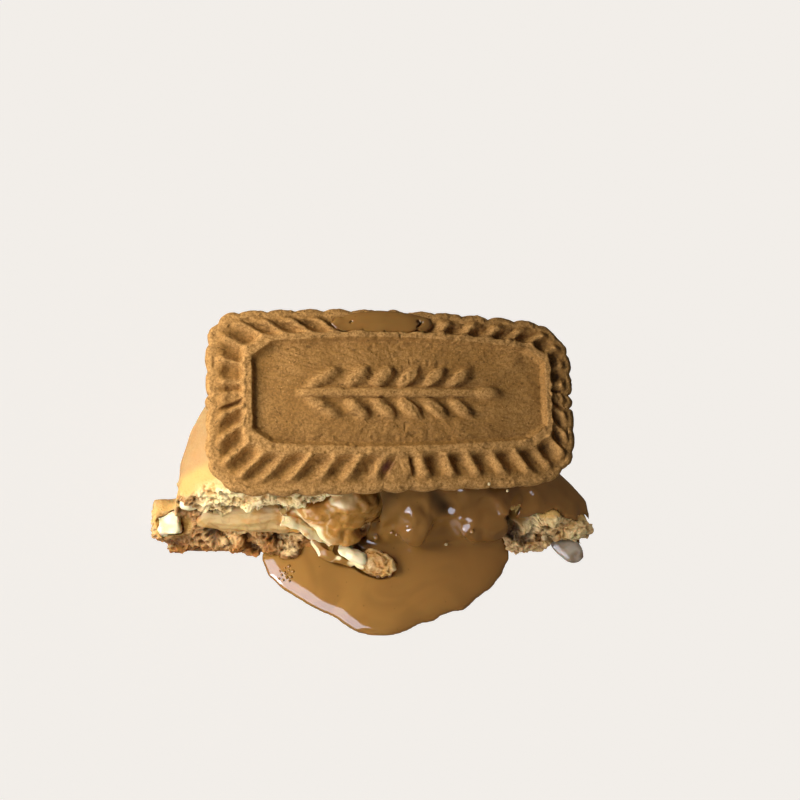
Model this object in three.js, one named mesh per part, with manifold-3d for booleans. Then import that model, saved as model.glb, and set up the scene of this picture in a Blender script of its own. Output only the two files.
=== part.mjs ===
// A torn half of a stuffed cookie: a thick crumbly cookie with a caramel filling, melted spread
// that runs out of the torn side into a puddle, and a scalloped rectangular biscuit on top.
// Millimetres. +X is to the right along the torn side, +Y points away from it and +Z is up.
// The origin is on the cookie's flat underside.
import * as THREE from "three";
import { mergeVertices } from "three/addons/utils/BufferGeometryUtils.js";
import Module from "manifold-3d";

const wasm = await Module();
wasm.setup();

// ---- Driving dimensions ------------------------------------------------------------------

const GAP = 0.35; // space left between neighbouring solids

// Cookie: half of a round cookie, torn along a line that runs left to right.
const COOKIE_RADIUS = 38;
const COOKIE_CENTRE = new THREE.Vector2(0.5, -6);
const COOKIE_HEIGHT_MAX = 23.5;
const COOKIE_HEIGHT_MIN = 7.6;
const COOKIE_SHOULDER = 0.34; // share of the height lost at the rim
const COOKIE_TOP_SHARE = 0.88; // the top's radius as a share of the widest one
const COOKIE_BASE_SHARE = 0.95;
const TORN_TOP_Y = -7.6; // the torn side leans: its top edge is further back than its foot
const TORN_FOOT_Y = -14.2;
const TORN_HEIGHT = 16;
const CRAG_DEPTH = 1.5;
const COOKIE_STEPS = { across: 38, deep: 7, high: 7 };
const COOKIE_SWELLS = [
  { angle: 0, width: 0.16, by: 0.045 },
  { angle: 0.27, width: 0.2, by: -0.13 },
  { angle: 2.75, width: 0.45, by: 0.02 },
]; // shares of the radius, in radians from the right-hand end of the torn side

// Filling: a slab that runs through the cookie and swells out of the middle of the torn side.
const FILLING_LEFT = -33.5;
const FILLING_RIGHT = 4;
const FILLING_DEPTH = 22;
const FILLING_BOTTOM_Z = 4.4;
const FILLING_THICKNESS = 5.4;
const FILLING_STEPS = { across: 20, deep: 2, high: 3 };

// Biscuit: a rectangle with scalloped sides, a ribbed border and a recessed panel.
const BISCUIT_LENGTH = 64.4;
const BISCUIT_WIDTH = 30.4;
const BISCUIT_THICKNESS = 6.5;
const BISCUIT_CORNER = 5.5;
const BISCUIT_TAPER = 0.045; // share by which the left end is wider than the middle
const BISCUIT_BOW = 0.4; // how far the long sides bulge at the middle
const BISCUIT_BACK_BOW = 0.65; // how much more the back side does, and less at its ends
const BISCUIT_WORN = 0.9; // how far the right-hand corners are worn off, both ways
const BISCUIT_WORN_REACH = 9;
const BISCUIT_PLACE = new THREE.Vector3(3.4, 5.0, 25.5);
const BISCUIT_PITCH = 17.5; // degrees, back edge up
const BISCUIT_ROLL = 9.5; // degrees, right end down
const BISCUIT_YAW = 1.5;
const SCALLOP_DEPTH = 0.75;
const RIB_RELIEF = 1.0;
const PANEL_DEPTH = 0.95;
const FRAME_HALF_LENGTH = 25.9;
const FRAME_HALF_WIDTH = 9.3;
const FRAME_CHAMFER = 3.2;
const FRAME_CENTRE = new THREE.Vector2(1.1, 1.4); // it lies off the biscuit's middle
const FRAME_BOW = 1.0; // how much narrower half the frame is at its ends
const SAMPLES_PER_SCALLOP = 4;

// Spread: a layer between cookie and biscuit, a curtain down the torn side and a puddle.
const PUDDLE_CENTRE = new THREE.Vector2(1.2, -12.4);
const PUDDLE_REACH = 17.5; // straight out from the torn side
const PUDDLE_SIDE = 23.2; // along the torn side
const PUDDLE_DEPTH = 2.4;
const PUDDLE_STEPS = 44;
const PUDDLE_SWELLS = [
  { angle: -1.4, width: 0.35, by: 0.5 },
  { angle: -0.7, width: 0.6, by: -0.8 },
  { angle: 0.45, width: 0.45, by: -0.8 },
]; // where the rim is further out or in, in radians from straight out of the torn side
const LAYER_THICKNESS = 1.9;
const LAYER_RADIUS = 37.4;
const LAYER_LEFT = -0.17; // its left and back ends as shares of the radius
const LAYER_BACK = 0.72;
const LAYER_LIP = 0.9; // how far it comes forward under the biscuit
const LAYER_END_LIP = 3.3; // the same over the bare right-hand end
const CURTAIN_LEFT = -5;
const CURTAIN_RIGHT = 24.2;
const CURTAIN_TOP_Y = -4.5;
const CURTAIN_FOOT_Y = -16;

// ---- Noise ---------------------------------------------------------------------------------

const lerp = THREE.MathUtils.lerp;
const clamp = THREE.MathUtils.clamp;
const smoothstep = THREE.MathUtils.smoothstep;
const radians = THREE.MathUtils.degToRad;

// A repeatable number from 0 to 1 for a lattice point.
function hash(ix, iy, iz, seed) {
  let h = Math.imul(ix, 374761393) ^ Math.imul(iy, 668265263) ^ Math.imul(iz, 2147483647);
  h = Math.imul(h ^ (seed * 1274126177), 1103515245);
  h = Math.imul(h ^ (h >>> 15), 2246822519);
  h ^= h >>> 13;
  return (h >>> 0) / 4294967295;
}

// Smooth value noise from -1 to 1; one bump is about `size` millimetres wide.
function noise(x, y, z, size, seed) {
  const [px, py, pz] = [x / size, y / size, z / size];
  const [ix, iy, iz] = [Math.floor(px), Math.floor(py), Math.floor(pz)];
  const ease = (t) => t * t * (3 - 2 * t);
  const [fx, fy, fz] = [ease(px - ix), ease(py - iy), ease(pz - iz)];
  let sum = 0;
  for (const dx of [0, 1]) {
    for (const dy of [0, 1]) {
      for (const dz of [0, 1]) {
        const weight = (dx ? fx : 1 - fx) * (dy ? fy : 1 - fy) * (dz ? fz : 1 - fz);
        sum += weight * hash(ix + dx, iy + dy, iz + dz, seed);
      }
    }
  }
  return 2 * sum - 1;
}

// A round bump: 1 at the centre, 0 from `radius` outwards.
function bump(distance, radius) {
  const t = clamp(1 - Math.abs(distance) / radius, 0, 1);
  return t * t * (3 - 2 * t);
}

// ---- Meshes and solids ---------------------------------------------------------------------

// Moves each vertex of a geometry to the place that `place(point)` gives for it.
function deform(geometry, place) {
  const position = geometry.getAttribute("position");
  const point = new THREE.Vector3();
  for (let i = 0; i < position.count; i += 1) {
    const moved = place(point.fromBufferAttribute(position, i));
    position.setXYZ(i, moved.x, moved.y, moved.z);
  }
  return geometry;
}

// Only positions, with shared vertices merged and collapsed triangles dropped.
function welded(geometry) {
  const bare = geometry.clone();
  bare.deleteAttribute("normal");
  bare.deleteAttribute("uv");
  const merged = mergeVertices(bare, 1e-4);
  const index = merged.getIndex().array;
  const kept = [];
  for (let i = 0; i < index.length; i += 3) {
    const [a, b, c] = [index[i], index[i + 1], index[i + 2]];
    if (a !== b && b !== c && c !== a) {
      kept.push(a, b, c);
    }
  }
  merged.setIndex(kept);
  return merged;
}

function toSolid(geometry) {
  const mesh = welded(geometry);
  const vertProperties = new Float32Array(mesh.getAttribute("position").array);
  const triVerts = new Uint32Array(mesh.getIndex().array);
  return new wasm.Manifold(new wasm.Mesh({ numProp: 3, vertProperties, triVerts }));
}

function toGeometry(solid) {
  const mesh = solid.getMesh();
  const positions = new Float32Array(mesh.numVert * 3);
  for (let i = 0; i < mesh.numVert; i += 1) {
    positions.set(mesh.vertProperties.subarray(i * mesh.numProp, i * mesh.numProp + 3), 3 * i);
  }
  const geometry = new THREE.BufferGeometry();
  geometry.setAttribute("position", new THREE.BufferAttribute(positions, 3));
  geometry.setIndex(new THREE.BufferAttribute(mesh.triVerts, 1));
  geometry.computeVertexNormals();
  return geometry;
}

// The solid with its surface moved outwards, used to cut its neighbours with a gap.
function grown(solid, distance) {
  const geometry = toGeometry(solid);
  const position = geometry.getAttribute("position");
  const normal = geometry.getAttribute("normal");
  for (let i = 0; i < position.count; i += 1) {
    position.setXYZ(
      i,
      position.getX(i) + distance * normal.getX(i),
      position.getY(i) + distance * normal.getY(i),
      position.getZ(i) + distance * normal.getZ(i),
    );
  }
  return toSolid(geometry);
}

// Cuts the neighbours out of a solid, each with a gap round it. The exact neighbour is cut too,
// because the grown one can fold over itself in a crease.
function clearOf(solid, neighbours) {
  return neighbours.reduce(
    (rest, neighbour) => rest.subtract(grown(neighbour, GAP)).subtract(neighbour),
    solid,
  );
}

// A cut can leave loose scraps: the largest body is the piece.
function largestBody(solid) {
  const bodies = solid.decompose();
  bodies.sort((a, b) => b.volume() - a.volume());
  return bodies[0];
}

function joined(solids) {
  return solids.reduce((sum, solid) => sum.add(solid));
}

// A lump: a faceted ball squashed to `size` (half widths), roughened, turned and placed.
function lump({ at, size, turn = [0, 0, 0], rough = 0.18, seed = 1, detail = 1 }) {
  const geometry = new THREE.IcosahedronGeometry(1, detail);
  deform(geometry, (p) => {
    const radius = 1 + rough * noise(p.x + 7 * seed, p.y, p.z, 0.8, seed);
    return new THREE.Vector3(p.x * size[0], p.y * size[1], p.z * size[2]).multiplyScalar(radius);
  });
  return placedSolid(geometry, at, turn);
}

// A broken-off chunk: a block with soft corners, roughened, turned and placed like a lump.
function chunk({ at, size, turn = [0, 0, 0], rough = 0.1, seed = 1 }) {
  const geometry = new THREE.BoxGeometry(2, 2, 2, 4, 4, 4);
  deform(geometry, (p) => {
    const radius = (1 + rough * noise(p.x + 7 * seed, p.y, p.z, 0.9, seed))
      / Math.pow(p.x ** 6 + p.y ** 6 + p.z ** 6, 1 / 9);
    return new THREE.Vector3(p.x * size[0], p.y * size[1], p.z * size[2]).multiplyScalar(radius);
  });
  return placedSolid(geometry, at, turn);
}

// Turns a geometry by three angles in degrees and moves it to its place.
function placedSolid(geometry, at, turn) {
  const rotation = new THREE.Euler(radians(turn[0]), radians(turn[1]), radians(turn[2]));
  const matrix = new THREE.Matrix4().makeRotationFromEuler(rotation);
  matrix.setPosition(at[0], at[1], at[2]);
  return toSolid(geometry.applyMatrix4(matrix));
}

// Keeps the part of a solid that is above the surface it rests on.
function aboveGround(solid) {
  const block = new THREE.BoxGeometry(300, 300, 100).translate(0, 0, 50);
  return solid.intersect(toSolid(block));
}

// ---- Where the biscuit lies ----------------------------------------------------------------

const biscuitTurn = new THREE.Euler(
  radians(BISCUIT_PITCH),
  radians(BISCUIT_ROLL),
  radians(BISCUIT_YAW),
  "ZXY",
);
const biscuitMatrix = new THREE.Matrix4().makeRotationFromEuler(biscuitTurn);
biscuitMatrix.setPosition(BISCUIT_PLACE);

// Height of the biscuit's flat underside above a point on the ground.
function biscuitUnderside(x, y) {
  const normal = new THREE.Vector3(0, 0, 1).transformDirection(biscuitMatrix);
  const middle = new THREE.Vector3(0, 0, -BISCUIT_THICKNESS).applyMatrix4(biscuitMatrix);
  return middle.z - (normal.x * (x - middle.x) + normal.y * (y - middle.y)) / normal.z;
}

// ---- Cookie --------------------------------------------------------------------------------

// How much of the spread's layer lies over a point of the cookie, from 0 to 1.
function layerCover(x, y) {
  const across = smoothstep(x, -9, 2);
  const back = 1 - smoothstep(y, 14, 22);
  return across * back;
}

// The top of the cookie follows the biscuit that lies on it, less the spread between them.
function cookieTop(x, y) {
  const under = biscuitUnderside(x, y) - 0.5 - LAYER_THICKNESS * layerCover(x, y);
  return clamp(under, COOKIE_HEIGHT_MIN, COOKIE_HEIGHT_MAX);
}

// The torn side at height z: a leaning face that is hollowed where the spread comes out.
function tornFace(x, z) {
  const lean = clamp(z / TORN_HEIGHT, 0, 1);
  const hollow = 3.2 * smoothstep(x, -8, 2) * (1 - smoothstep(x, 19.5, 26));
  const sunk = 1.7 * smoothstep(x, 24, 34) * Math.max(smoothstep(z, 2, 6), smoothstep(x, 28, 31));
  return lerp(TORN_FOOT_Y, TORN_TOP_Y, Math.pow(lean, 0.8)) + hollow + sunk;
}

// Crags on the torn side, finer than the cookie's own outline.
function crag(x, y, z) {
  return CRAG_DEPTH * (0.65 * noise(x, y, z, 4.2, 11) + 0.5 * noise(x, y, z, 2.1, 12));
}

// How far the value is raised at an angle by a list of swells.
function swelling(angle, swells) {
  return swells.reduce((sum, swell) => sum + swell.by * bump(angle - swell.angle, swell.width), 0);
}

// The cookie's outline as a share of its radius.
function cookieOutline(angle) {
  return 1 + swelling(angle, COOKIE_SWELLS);
}

// Places a point of a box (u from -1 to 1, v and w from 0 to 1) on the half cookie.
function onCookie(u, v, w) {
  const a = u * Math.sqrt(1 - 0.5 * v * v);
  const b = v * Math.sqrt(1 - 0.5 * u * u);
  const reach = Math.min(1, Math.hypot(a, b));
  const angle = Math.atan2(b, a);
  const uneven = 0.02 * noise(4 * Math.cos(angle), 4 * Math.sin(angle), w, 2.2, 3);
  const outline = cookieOutline(angle) + uneven;
  const belly = Math.sin(Math.PI * Math.min(1, 0.35 + 0.65 * w));
  const share = w < 0.25
    ? lerp(COOKIE_BASE_SHARE, 1, Math.sin((w / 0.25) * (Math.PI / 2)))
    : lerp(COOKIE_TOP_SHARE, 1, Math.sqrt(Math.max(0, belly)));
  const x = COOKIE_CENTRE.x + COOKIE_RADIUS * outline * share * a;
  let y = COOKIE_CENTRE.y + COOKIE_RADIUS * outline * share * b;
  const height = cookieTop(x, y) * (1 - COOKIE_SHOULDER * Math.pow(reach, 5));
  let z = w * height;
  const front = Math.pow(1 - v, 3);
  y += front * (tornFace(x, z) - COOKIE_CENTRE.y);
  if (w > 0) {
    y += front * crag(x, y, z);
    const ragged = 0.9 - 0.7 * smoothstep(x, 16, 22);
    z += 0.35 * noise(x, y, z, 6, 5) * w + front * w * ragged * noise(x, y, z, 3, 6);
  }
  return new THREE.Vector3(x, y, z);
}

function cookieBody(steps) {
  const box = new THREE.BoxGeometry(2, 1, 1, steps.across, steps.deep, steps.high);
  deform(box, (p) => onCookie(p.x, p.y + 0.5, p.z + 0.5));
  return toSolid(box);
}

// Broken bits that stand out of the torn side: one at its right-hand end, and rows along its
// foot and its top edge.
function tornCrags() {
  const crags = [
    lump({ at: [37.2, -9.7, 7.4], size: [2.1, 1.8, 2.4], rough: 0.25, seed: 29, detail: 0 }),
  ];
  const rows = [
    { from: -37.4, to: -14, step: 3.5, z: 1.7, out: -0.5, size: 2.3 },
    { from: -33, to: -13, step: 3.9, z: 13, out: -0.6, size: 2.0 },
    { from: 26, to: 38, step: 3.1, z: 2, out: -0.4, size: 2.4 },
    { from: 28.5, to: 37, step: 4, z: 6.4, out: -0.7, size: 2.0 },
  ];
  rows.forEach((row, r) => {
    const count = Math.floor((row.to - row.from) / row.step);
    for (let n = 0; n <= count; n += 1) {
      const wander = noise(n, r, 0, 0.37, 21);
      const x = row.from + (n + 0.35 * wander) * row.step;
      const z = row.z + 1.3 * noise(n, r, 3, 0.37, 23);
      const size = row.size * (1 + 0.45 * noise(n, r, 5, 0.37, 22));
      crags.push(lump({
        at: [x, tornFace(x, z) - row.out + 0.5 * wander, z],
        size: [size * 1.5, size * 0.9, size * 0.75],
        turn: [60 * wander, 25 * wander, 80 * wander],
        rough: 0.3,
        seed: 30 + 10 * r + n,
        detail: 0,
      }));
    }
  });
  return crags;
}

// The base spreads out further than the top at the left end of the torn side.
function cookieLobe() {
  return [
    chunk({ at: [-38.2, -8.9, 3.2], size: [3.4, 3.5, 2.9], turn: [8, 0, 4], rough: 0.24, seed: 41 }),
    lump({ at: [-36, -9.2, 2.4], size: [4.4, 4, 3], rough: 0.25, seed: 42 }),
  ];
}

// Hollows in the crumb: one at the far left, two at the right end and a crack over the filling.
function cookieHollows() {
  return [
    lump({ at: [-38.2, -5, 8.4], size: [2.6, 2.2, 5], rough: 0.2, seed: 50, detail: 0 }),
    lump({ at: [-35.4, -11.6, 6.6], size: [1.7, 4, 1.7], rough: 0.2, seed: 51 }),
    lump({ at: [26.6, -11.6, 7.2], size: [2.6, 4.4, 1.7], turn: [0, 12, 0], rough: 0.2, seed: 52 }),
    lump({ at: [31.8, -10.6, 8.4], size: [1.9, 3.6, 1.2], rough: 0.2, seed: 53 }),
    lump({ at: [-24, -10.5, 11.6], size: [7.2, 2.6, 0.8], turn: [0, 3, 0], rough: 0.1, seed: 54 }),
  ];
}

// ---- Filling -------------------------------------------------------------------------------

// Places a point of a box on the slab of filling.
function onFilling(u, v, w) {
  const along = (u + 1) / 2;
  const x = lerp(FILLING_LEFT, FILLING_RIGHT, along);
  const middle = smoothstep(x, -17, -6);
  const ends = Math.sqrt(Math.max(0.02, 1 - Math.pow(Math.abs(u), 6)));
  const back = 1 - 0.5 * v * v;
  const thickness = (FILLING_THICKNESS + 2.6 * middle) * ends * back;
  const level = FILLING_BOTTOM_Z + 0.5 * (FILLING_THICKNESS - thickness) + 1.6 * middle;
  const z = level + w * thickness + 0.35 * noise(x, 0, 9 * w, 3.5, 61);
  const bulge = Math.sin(Math.PI * w) * (1.0 + 1.6 * middle);
  const face = tornFace(x, z) - bulge + 0.5 * noise(x, z, 0, 3, 62);
  const y = lerp(face, COOKIE_CENTRE.y + FILLING_DEPTH * Math.sqrt(ends), v);
  return new THREE.Vector3(x * (1 - 0.12 * v), y, z);
}

function fillingSolid() {
  const steps = FILLING_STEPS;
  const box = new THREE.BoxGeometry(2, 1, 1, steps.across, steps.deep, steps.high);
  deform(box, (p) => onFilling(p.x, p.y + 0.5, p.z + 0.5));
  const lumps = [
    lump({ at: [-4.4, -7.8, 11.4], size: [5, 3, 2], turn: [-20, 6, 0], seed: 63, detail: 2 }),
    lump({ at: [-11, -9.3, 10.6], size: [4.4, 2.6, 1.8], turn: [-20, -8, 0], seed: 64 }),
    lump({ at: [-7.4, -12.2, 6.2], size: [4.6, 2.4, 2], turn: [0, 20, 0], seed: 65 }),
  ];
  return joined([toSolid(box), ...lumps]);
}

// ---- Biscuit -------------------------------------------------------------------------------

const halfLength = BISCUIT_LENGTH / 2;
const halfWidth = BISCUIT_WIDTH / 2;
const longRun = halfLength - BISCUIT_CORNER; // straight part of half a long side
const shortRun = halfWidth - BISCUIT_CORNER;
const cornerRun = (BISCUIT_CORNER * Math.PI) / 2;
const quarterRun = longRun + cornerRun + shortRun;

// Scallops of one quarter of the outline, from the middle of a long side to that of a short
// side. The two middle scallops are plain and are counted half each.
const LONG_MIDDLE = 2.6;
const SHORT_MIDDLE = 1.3;
const LONG_SCALLOPS = 5;
const CORNER_SCALLOPS = 2;
const SHORT_SCALLOPS = 2;

// Distances along the quarter at which the scallops meet.
function scallopEnds() {
  const ends = [0, LONG_MIDDLE];
  const spread = (count, from, to) => {
    for (let i = 1; i <= count; i += 1) {
      ends.push(lerp(from, to, i / count));
    }
  };
  spread(LONG_SCALLOPS, LONG_MIDDLE, longRun);
  spread(CORNER_SCALLOPS, longRun, longRun + cornerRun);
  spread(SHORT_SCALLOPS, longRun + cornerRun, quarterRun - SHORT_MIDDLE);
  ends.push(quarterRun);
  return ends;
}

// The point of the plain rounded rectangle at distance s along the quarter, with its normal.
function onEdge(s) {
  if (s <= longRun) {
    return { x: s, y: halfWidth, nx: 0, ny: 1 };
  }
  if (s >= longRun + cornerRun) {
    return { x: halfLength, y: quarterRun - s, nx: 1, ny: 0 };
  }
  const angle = (s - longRun) / BISCUIT_CORNER;
  const [nx, ny] = [Math.sin(angle), Math.cos(angle)];
  return { x: longRun + BISCUIT_CORNER * nx, y: shortRun + BISCUIT_CORNER * ny, nx, ny };
}

// The point of the frame line, a rectangle with cut corners, at distance s along its quarter.
function onFrame(s) {
  const straight = FRAME_HALF_LENGTH - FRAME_CHAMFER;
  const cut = FRAME_CHAMFER * Math.SQRT2;
  if (s <= straight) {
    return { x: s, y: FRAME_HALF_WIDTH };
  }
  if (s <= straight + cut) {
    const step = (s - straight) / Math.SQRT2;
    return { x: straight + step, y: FRAME_HALF_WIDTH - step };
  }
  return { x: FRAME_HALF_LENGTH, y: FRAME_HALF_WIDTH - FRAME_CHAMFER - (s - straight - cut) };
}

// How far the frame's long sides have come in at a distance from its middle.
function frameBow(x) {
  const share = x / FRAME_HALF_LENGTH;
  return FRAME_BOW * share * share * smoothstep(FRAME_HALF_LENGTH - x, 0, FRAME_CHAMFER);
}

// The ribs lean: which point of the frame line a point of the edge is joined to.
function frameRun(s) {
  const frameQuarter =
    FRAME_HALF_LENGTH + FRAME_HALF_WIDTH + FRAME_CHAMFER * (Math.SQRT2 - 2);
  const apex = 0.4; // half width of the plain middle scallop where it meets the frame
  const [cornerStart, cornerEnd] = [20.7, 5.6]; // from the middle of the long and the short side
  const from = [0, LONG_MIDDLE, longRun, longRun + cornerRun, quarterRun - SHORT_MIDDLE, quarterRun];
  const to = [0, apex, cornerStart, frameQuarter - cornerEnd, frameQuarter - apex, frameQuarter];
  const i = Math.max(1, from.findIndex((end) => s <= end));
  return lerp(to[i - 1], to[i], (s - from[i - 1]) / (from[i] - from[i - 1]));
}

// Samples of one quarter: edge point, frame point, scallop height and rib height (0 to 1).
function quarterSamples() {
  const ends = scallopEnds();
  const samples = [];
  for (let k = 0; k < ends.length - 1; k += 1) {
    const middle = k === 0 || k === ends.length - 2;
    const count = middle ? SAMPLES_PER_SCALLOP / 2 : SAMPLES_PER_SCALLOP;
    for (let i = 0; i < count; i += 1) {
      const part = i / count;
      const phase = middle ? (k === 0 ? 0.5 + 0.5 * part : 0.5 * part) : part;
      const s = lerp(ends[k], ends[k + 1], part);
      const swell = Math.sin(Math.PI * phase);
      const edge = onEdge(Math.min(s, quarterRun));
      const frame = onFrame(frameRun(s));
      samples.push({ edge, frame, swell, rib: middle ? 0.45 : swell * swell });
    }
  }
  return samples;
}

// The whole outline, mirrored from the quarter, counter-clockwise from the middle of the back.
function outlineSamples() {
  const quarter = quarterSamples();
  const last = {
    edge: onEdge(quarterRun),
    frame: { x: FRAME_HALF_LENGTH, y: 0 },
    swell: 1,
    rib: 0.45,
  };
  const mirrored = (sample, sx, sy) => ({
    ...sample,
    edge: {
      x: sx * sample.edge.x,
      y: sy * sample.edge.y,
      nx: sx * sample.edge.nx,
      ny: sy * sample.edge.ny,
    },
    frame: {
      x: FRAME_CENTRE.x + sx * sample.frame.x,
      y: FRAME_CENTRE.y + sy * (sample.frame.y - frameBow(sample.frame.x)),
    },
  });
  const forth = quarter;
  const back = [last, ...quarter.slice(1).reverse()];
  return [
    ...forth.map((sample) => mirrored(sample, -1, 1)),
    ...back.map((sample) => mirrored(sample, -1, -1)),
    ...forth.map((sample) => mirrored(sample, 1, -1)),
    ...back.map((sample) => mirrored(sample, 1, 1)),
  ];
}

// Section from the middle of the underside, round the edge and up to the middle of the panel.
// `inset` is in millimetres from the edge, `blend` goes from the edge (0) to the frame line (1)
// and `shrink` scales the frame line towards the middle.
function biscuitSection() {
  const under = -BISCUIT_THICKNESS;
  return [
    { shrink: 0, z: under },
    { inset: 1.0, z: under },
    { inset: 0.2, z: under + 0.9 },
    { inset: 0, z: -1.9 },
    { inset: 0.4, z: -1.05 },
    { blend: 0.26, z: -0.78, rib: 0.3 },
    { blend: 0.46, z: -1.1, rib: 1 },
    { blend: 0.78, z: -1.15, rib: 0.95 },
    { blend: 0.96, z: 0 },
    { shrink: 0.97, z: -0.3 * PANEL_DEPTH },
    { shrink: 0.945, z: -PANEL_DEPTH },
    { shrink: 0, z: -0.75 * PANEL_DEPTH },
  ];
}

function biscuitPoint(sample, step) {
  const { edge, frame, swell, rib } = sample;
  const lift = (step.rib ?? 0) * RIB_RELIEF * rib;
  let [x, y] = [0, 0];
  if (step.shrink !== undefined) {
    x = lerp(FRAME_CENTRE.x, frame.x, step.shrink);
    y = lerp(FRAME_CENTRE.y, frame.y, step.shrink);
  } else {
    const inset = (step.inset ?? 0.35) + SCALLOP_DEPTH * (1 - swell);
    const blend = step.blend ?? 0;
    x = lerp(edge.x - inset * edge.nx, frame.x, blend);
    y = lerp(edge.y - inset * edge.ny, frame.y, blend);
  }
  const along = x / halfLength;
  const corner = Math.hypot(x - halfLength, Math.abs(y) - halfWidth);
  const worn = BISCUIT_WORN * bump(corner, BISCUIT_WORN_REACH);
  const back = BISCUIT_BACK_BOW * Math.max(0, y / halfWidth) * (1 - 2 * along * along);
  y *= 1 - BISCUIT_TAPER * along + (BISCUIT_BOW / halfWidth) * (1 - along * along);
  return new THREE.Vector3(x - worn, y + back - Math.sign(y) * worn, step.z + lift);
}

function biscuitBody() {
  const samples = outlineSamples();
  const section = biscuitSection();
  const profile = section.map((step, j) => {
    const onAxis = j === 0 || j === section.length - 1;
    return new THREE.Vector2(onAxis ? 0 : 1, j);
  });
  const lathe = new THREE.LatheGeometry(profile, samples.length);
  const position = lathe.getAttribute("position");
  for (let i = 0; i < position.count; i += 1) {
    const sample = samples[Math.floor(i / section.length) % samples.length];
    const point = biscuitPoint(sample, section[i % section.length]);
    position.setXYZ(i, point.x, point.y, point.z);
  }
  return toSolid(lathe);
}

// The block that other solids are cut with where the biscuit lies.
function biscuitClearance() {
  const shape = new THREE.Shape();
  const [a, b] = [halfLength + GAP, halfWidth * (1 + BISCUIT_TAPER) + GAP];
  const r = BISCUIT_CORNER;
  shape.absarc(a - r, b - r, r, 0, Math.PI / 2);
  shape.absarc(r - a, b - r, r, Math.PI / 2, Math.PI);
  shape.absarc(r - a, r - b, r, Math.PI, 1.5 * Math.PI);
  shape.absarc(a - r, r - b, r, 1.5 * Math.PI, 2 * Math.PI);
  const height = BISCUIT_THICKNESS + GAP;
  const block = new THREE.ExtrudeGeometry(shape, {
    depth: height, bevelEnabled: false, curveSegments: 4,
  });
  block.translate(0, 0, -height);
  return toSolid(block.applyMatrix4(biscuitMatrix));
}

// ---- Spread --------------------------------------------------------------------------------

// The puddle's radius in the direction of an angle from straight out of the torn side.
function puddleReach(angle) {
  const side = Math.pow(Math.abs(Math.sin(angle)), 4.6);
  const reach = Math.cos(angle) > 0 ? PUDDLE_REACH : 0.2 * PUDDLE_REACH;
  const ripple = 0.45 * noise(3 * Math.cos(angle), 3 * Math.sin(angle), 0, 0.9, 81);
  return lerp(reach, PUDDLE_SIDE, side) + ripple + swelling(angle, PUDDLE_SWELLS);
}

function puddle() {
  const profile = [
    [0, 0], [0.97, 0], [0.992, 0.3], [1, 0.65], [0.982, 1.05], [0.94, 1.5], [0.88, 1.9],
    [0.79, 2.2], [0.6, PUDDLE_DEPTH], [0, PUDDLE_DEPTH],
  ];
  const lathe = new THREE.LatheGeometry(
    profile.map(([share, z]) => new THREE.Vector2(share, z)),
    PUDDLE_STEPS,
  );
  const rings = profile.length;
  const position = lathe.getAttribute("position");
  for (let i = 0; i < position.count; i += 1) {
    const angle = ((Math.floor(i / rings) % PUDDLE_STEPS) / PUDDLE_STEPS - 0.5) * 2 * Math.PI;
    const [share, z] = profile[i % rings];
    const reach = puddleReach(angle) * share;
    const x = PUDDLE_CENTRE.x + reach * Math.sin(angle);
    const y = PUDDLE_CENTRE.y - reach * Math.cos(angle);
    position.setXYZ(i, x, y, z);
  }
  return toSolid(lathe);
}

// Height of the spread where it runs down the torn side.
function curtainHeight(x, y) {
  const top = biscuitUnderside(x, CURTAIN_TOP_Y - 3) - 0.6;
  const drop = smoothstep(y, CURTAIN_FOOT_Y + 1.5, CURTAIN_TOP_Y - 2.2);
  const sides = smoothstep(x, CURTAIN_LEFT, CURTAIN_LEFT + 6)
    * (1 - smoothstep(x, CURTAIN_RIGHT - 3, CURTAIN_RIGHT + 1));
  const folds = 0.8 * noise(x, 0.4 * y, 0, 5.5, 82) * Math.sin(Math.PI * drop);
  return lerp(1.2, top, Math.pow(drop, 0.85) * sides) + folds * sides;
}

function curtain() {
  const box = new THREE.BoxGeometry(2, 1, 1, 16, 9, 1);
  deform(box, (p) => {
    const x = lerp(CURTAIN_LEFT, CURTAIN_RIGHT, (p.x + 1) / 2);
    const y = lerp(CURTAIN_FOOT_Y, CURTAIN_TOP_Y, p.y + 0.5);
    return new THREE.Vector3(x, y, p.z < 0 ? 0.5 : curtainHeight(x, y));
  });
  const lumps = [
    lump({ at: [6.8, -10.9, 7.4], size: [2.9, 2.9, 5.2], turn: [-38, 0, -3], seed: 83, detail: 2 }),
    lump({ at: [18.6, -10.3, 6.2], size: [5.8, 2.9, 4], turn: [-38, 4, 0], seed: 85, detail: 2 }),
  ];
  return joined([toSolid(box), ...lumps]);
}

// Height of the cookie's surface from above, down over its shoulder and its side.
function cookieSurface(x, y) {
  const [dx, dy] = [x - COOKIE_CENTRE.x, Math.max(0, y - COOKIE_CENTRE.y)];
  const share = Math.hypot(dx, dy) / (COOKIE_RADIUS * cookieOutline(Math.atan2(dy, dx)));
  const reach = Math.min(1, share / COOKIE_TOP_SHARE);
  const side = clamp((share - COOKIE_TOP_SHARE) / (1.01 - COOKIE_TOP_SHARE), 0, 0.96);
  const shoulder = 1 - COOKIE_SHOULDER * Math.pow(reach, 5);
  return cookieTop(x, y) * shoulder * Math.sqrt(1 - side * side);
}

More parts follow.
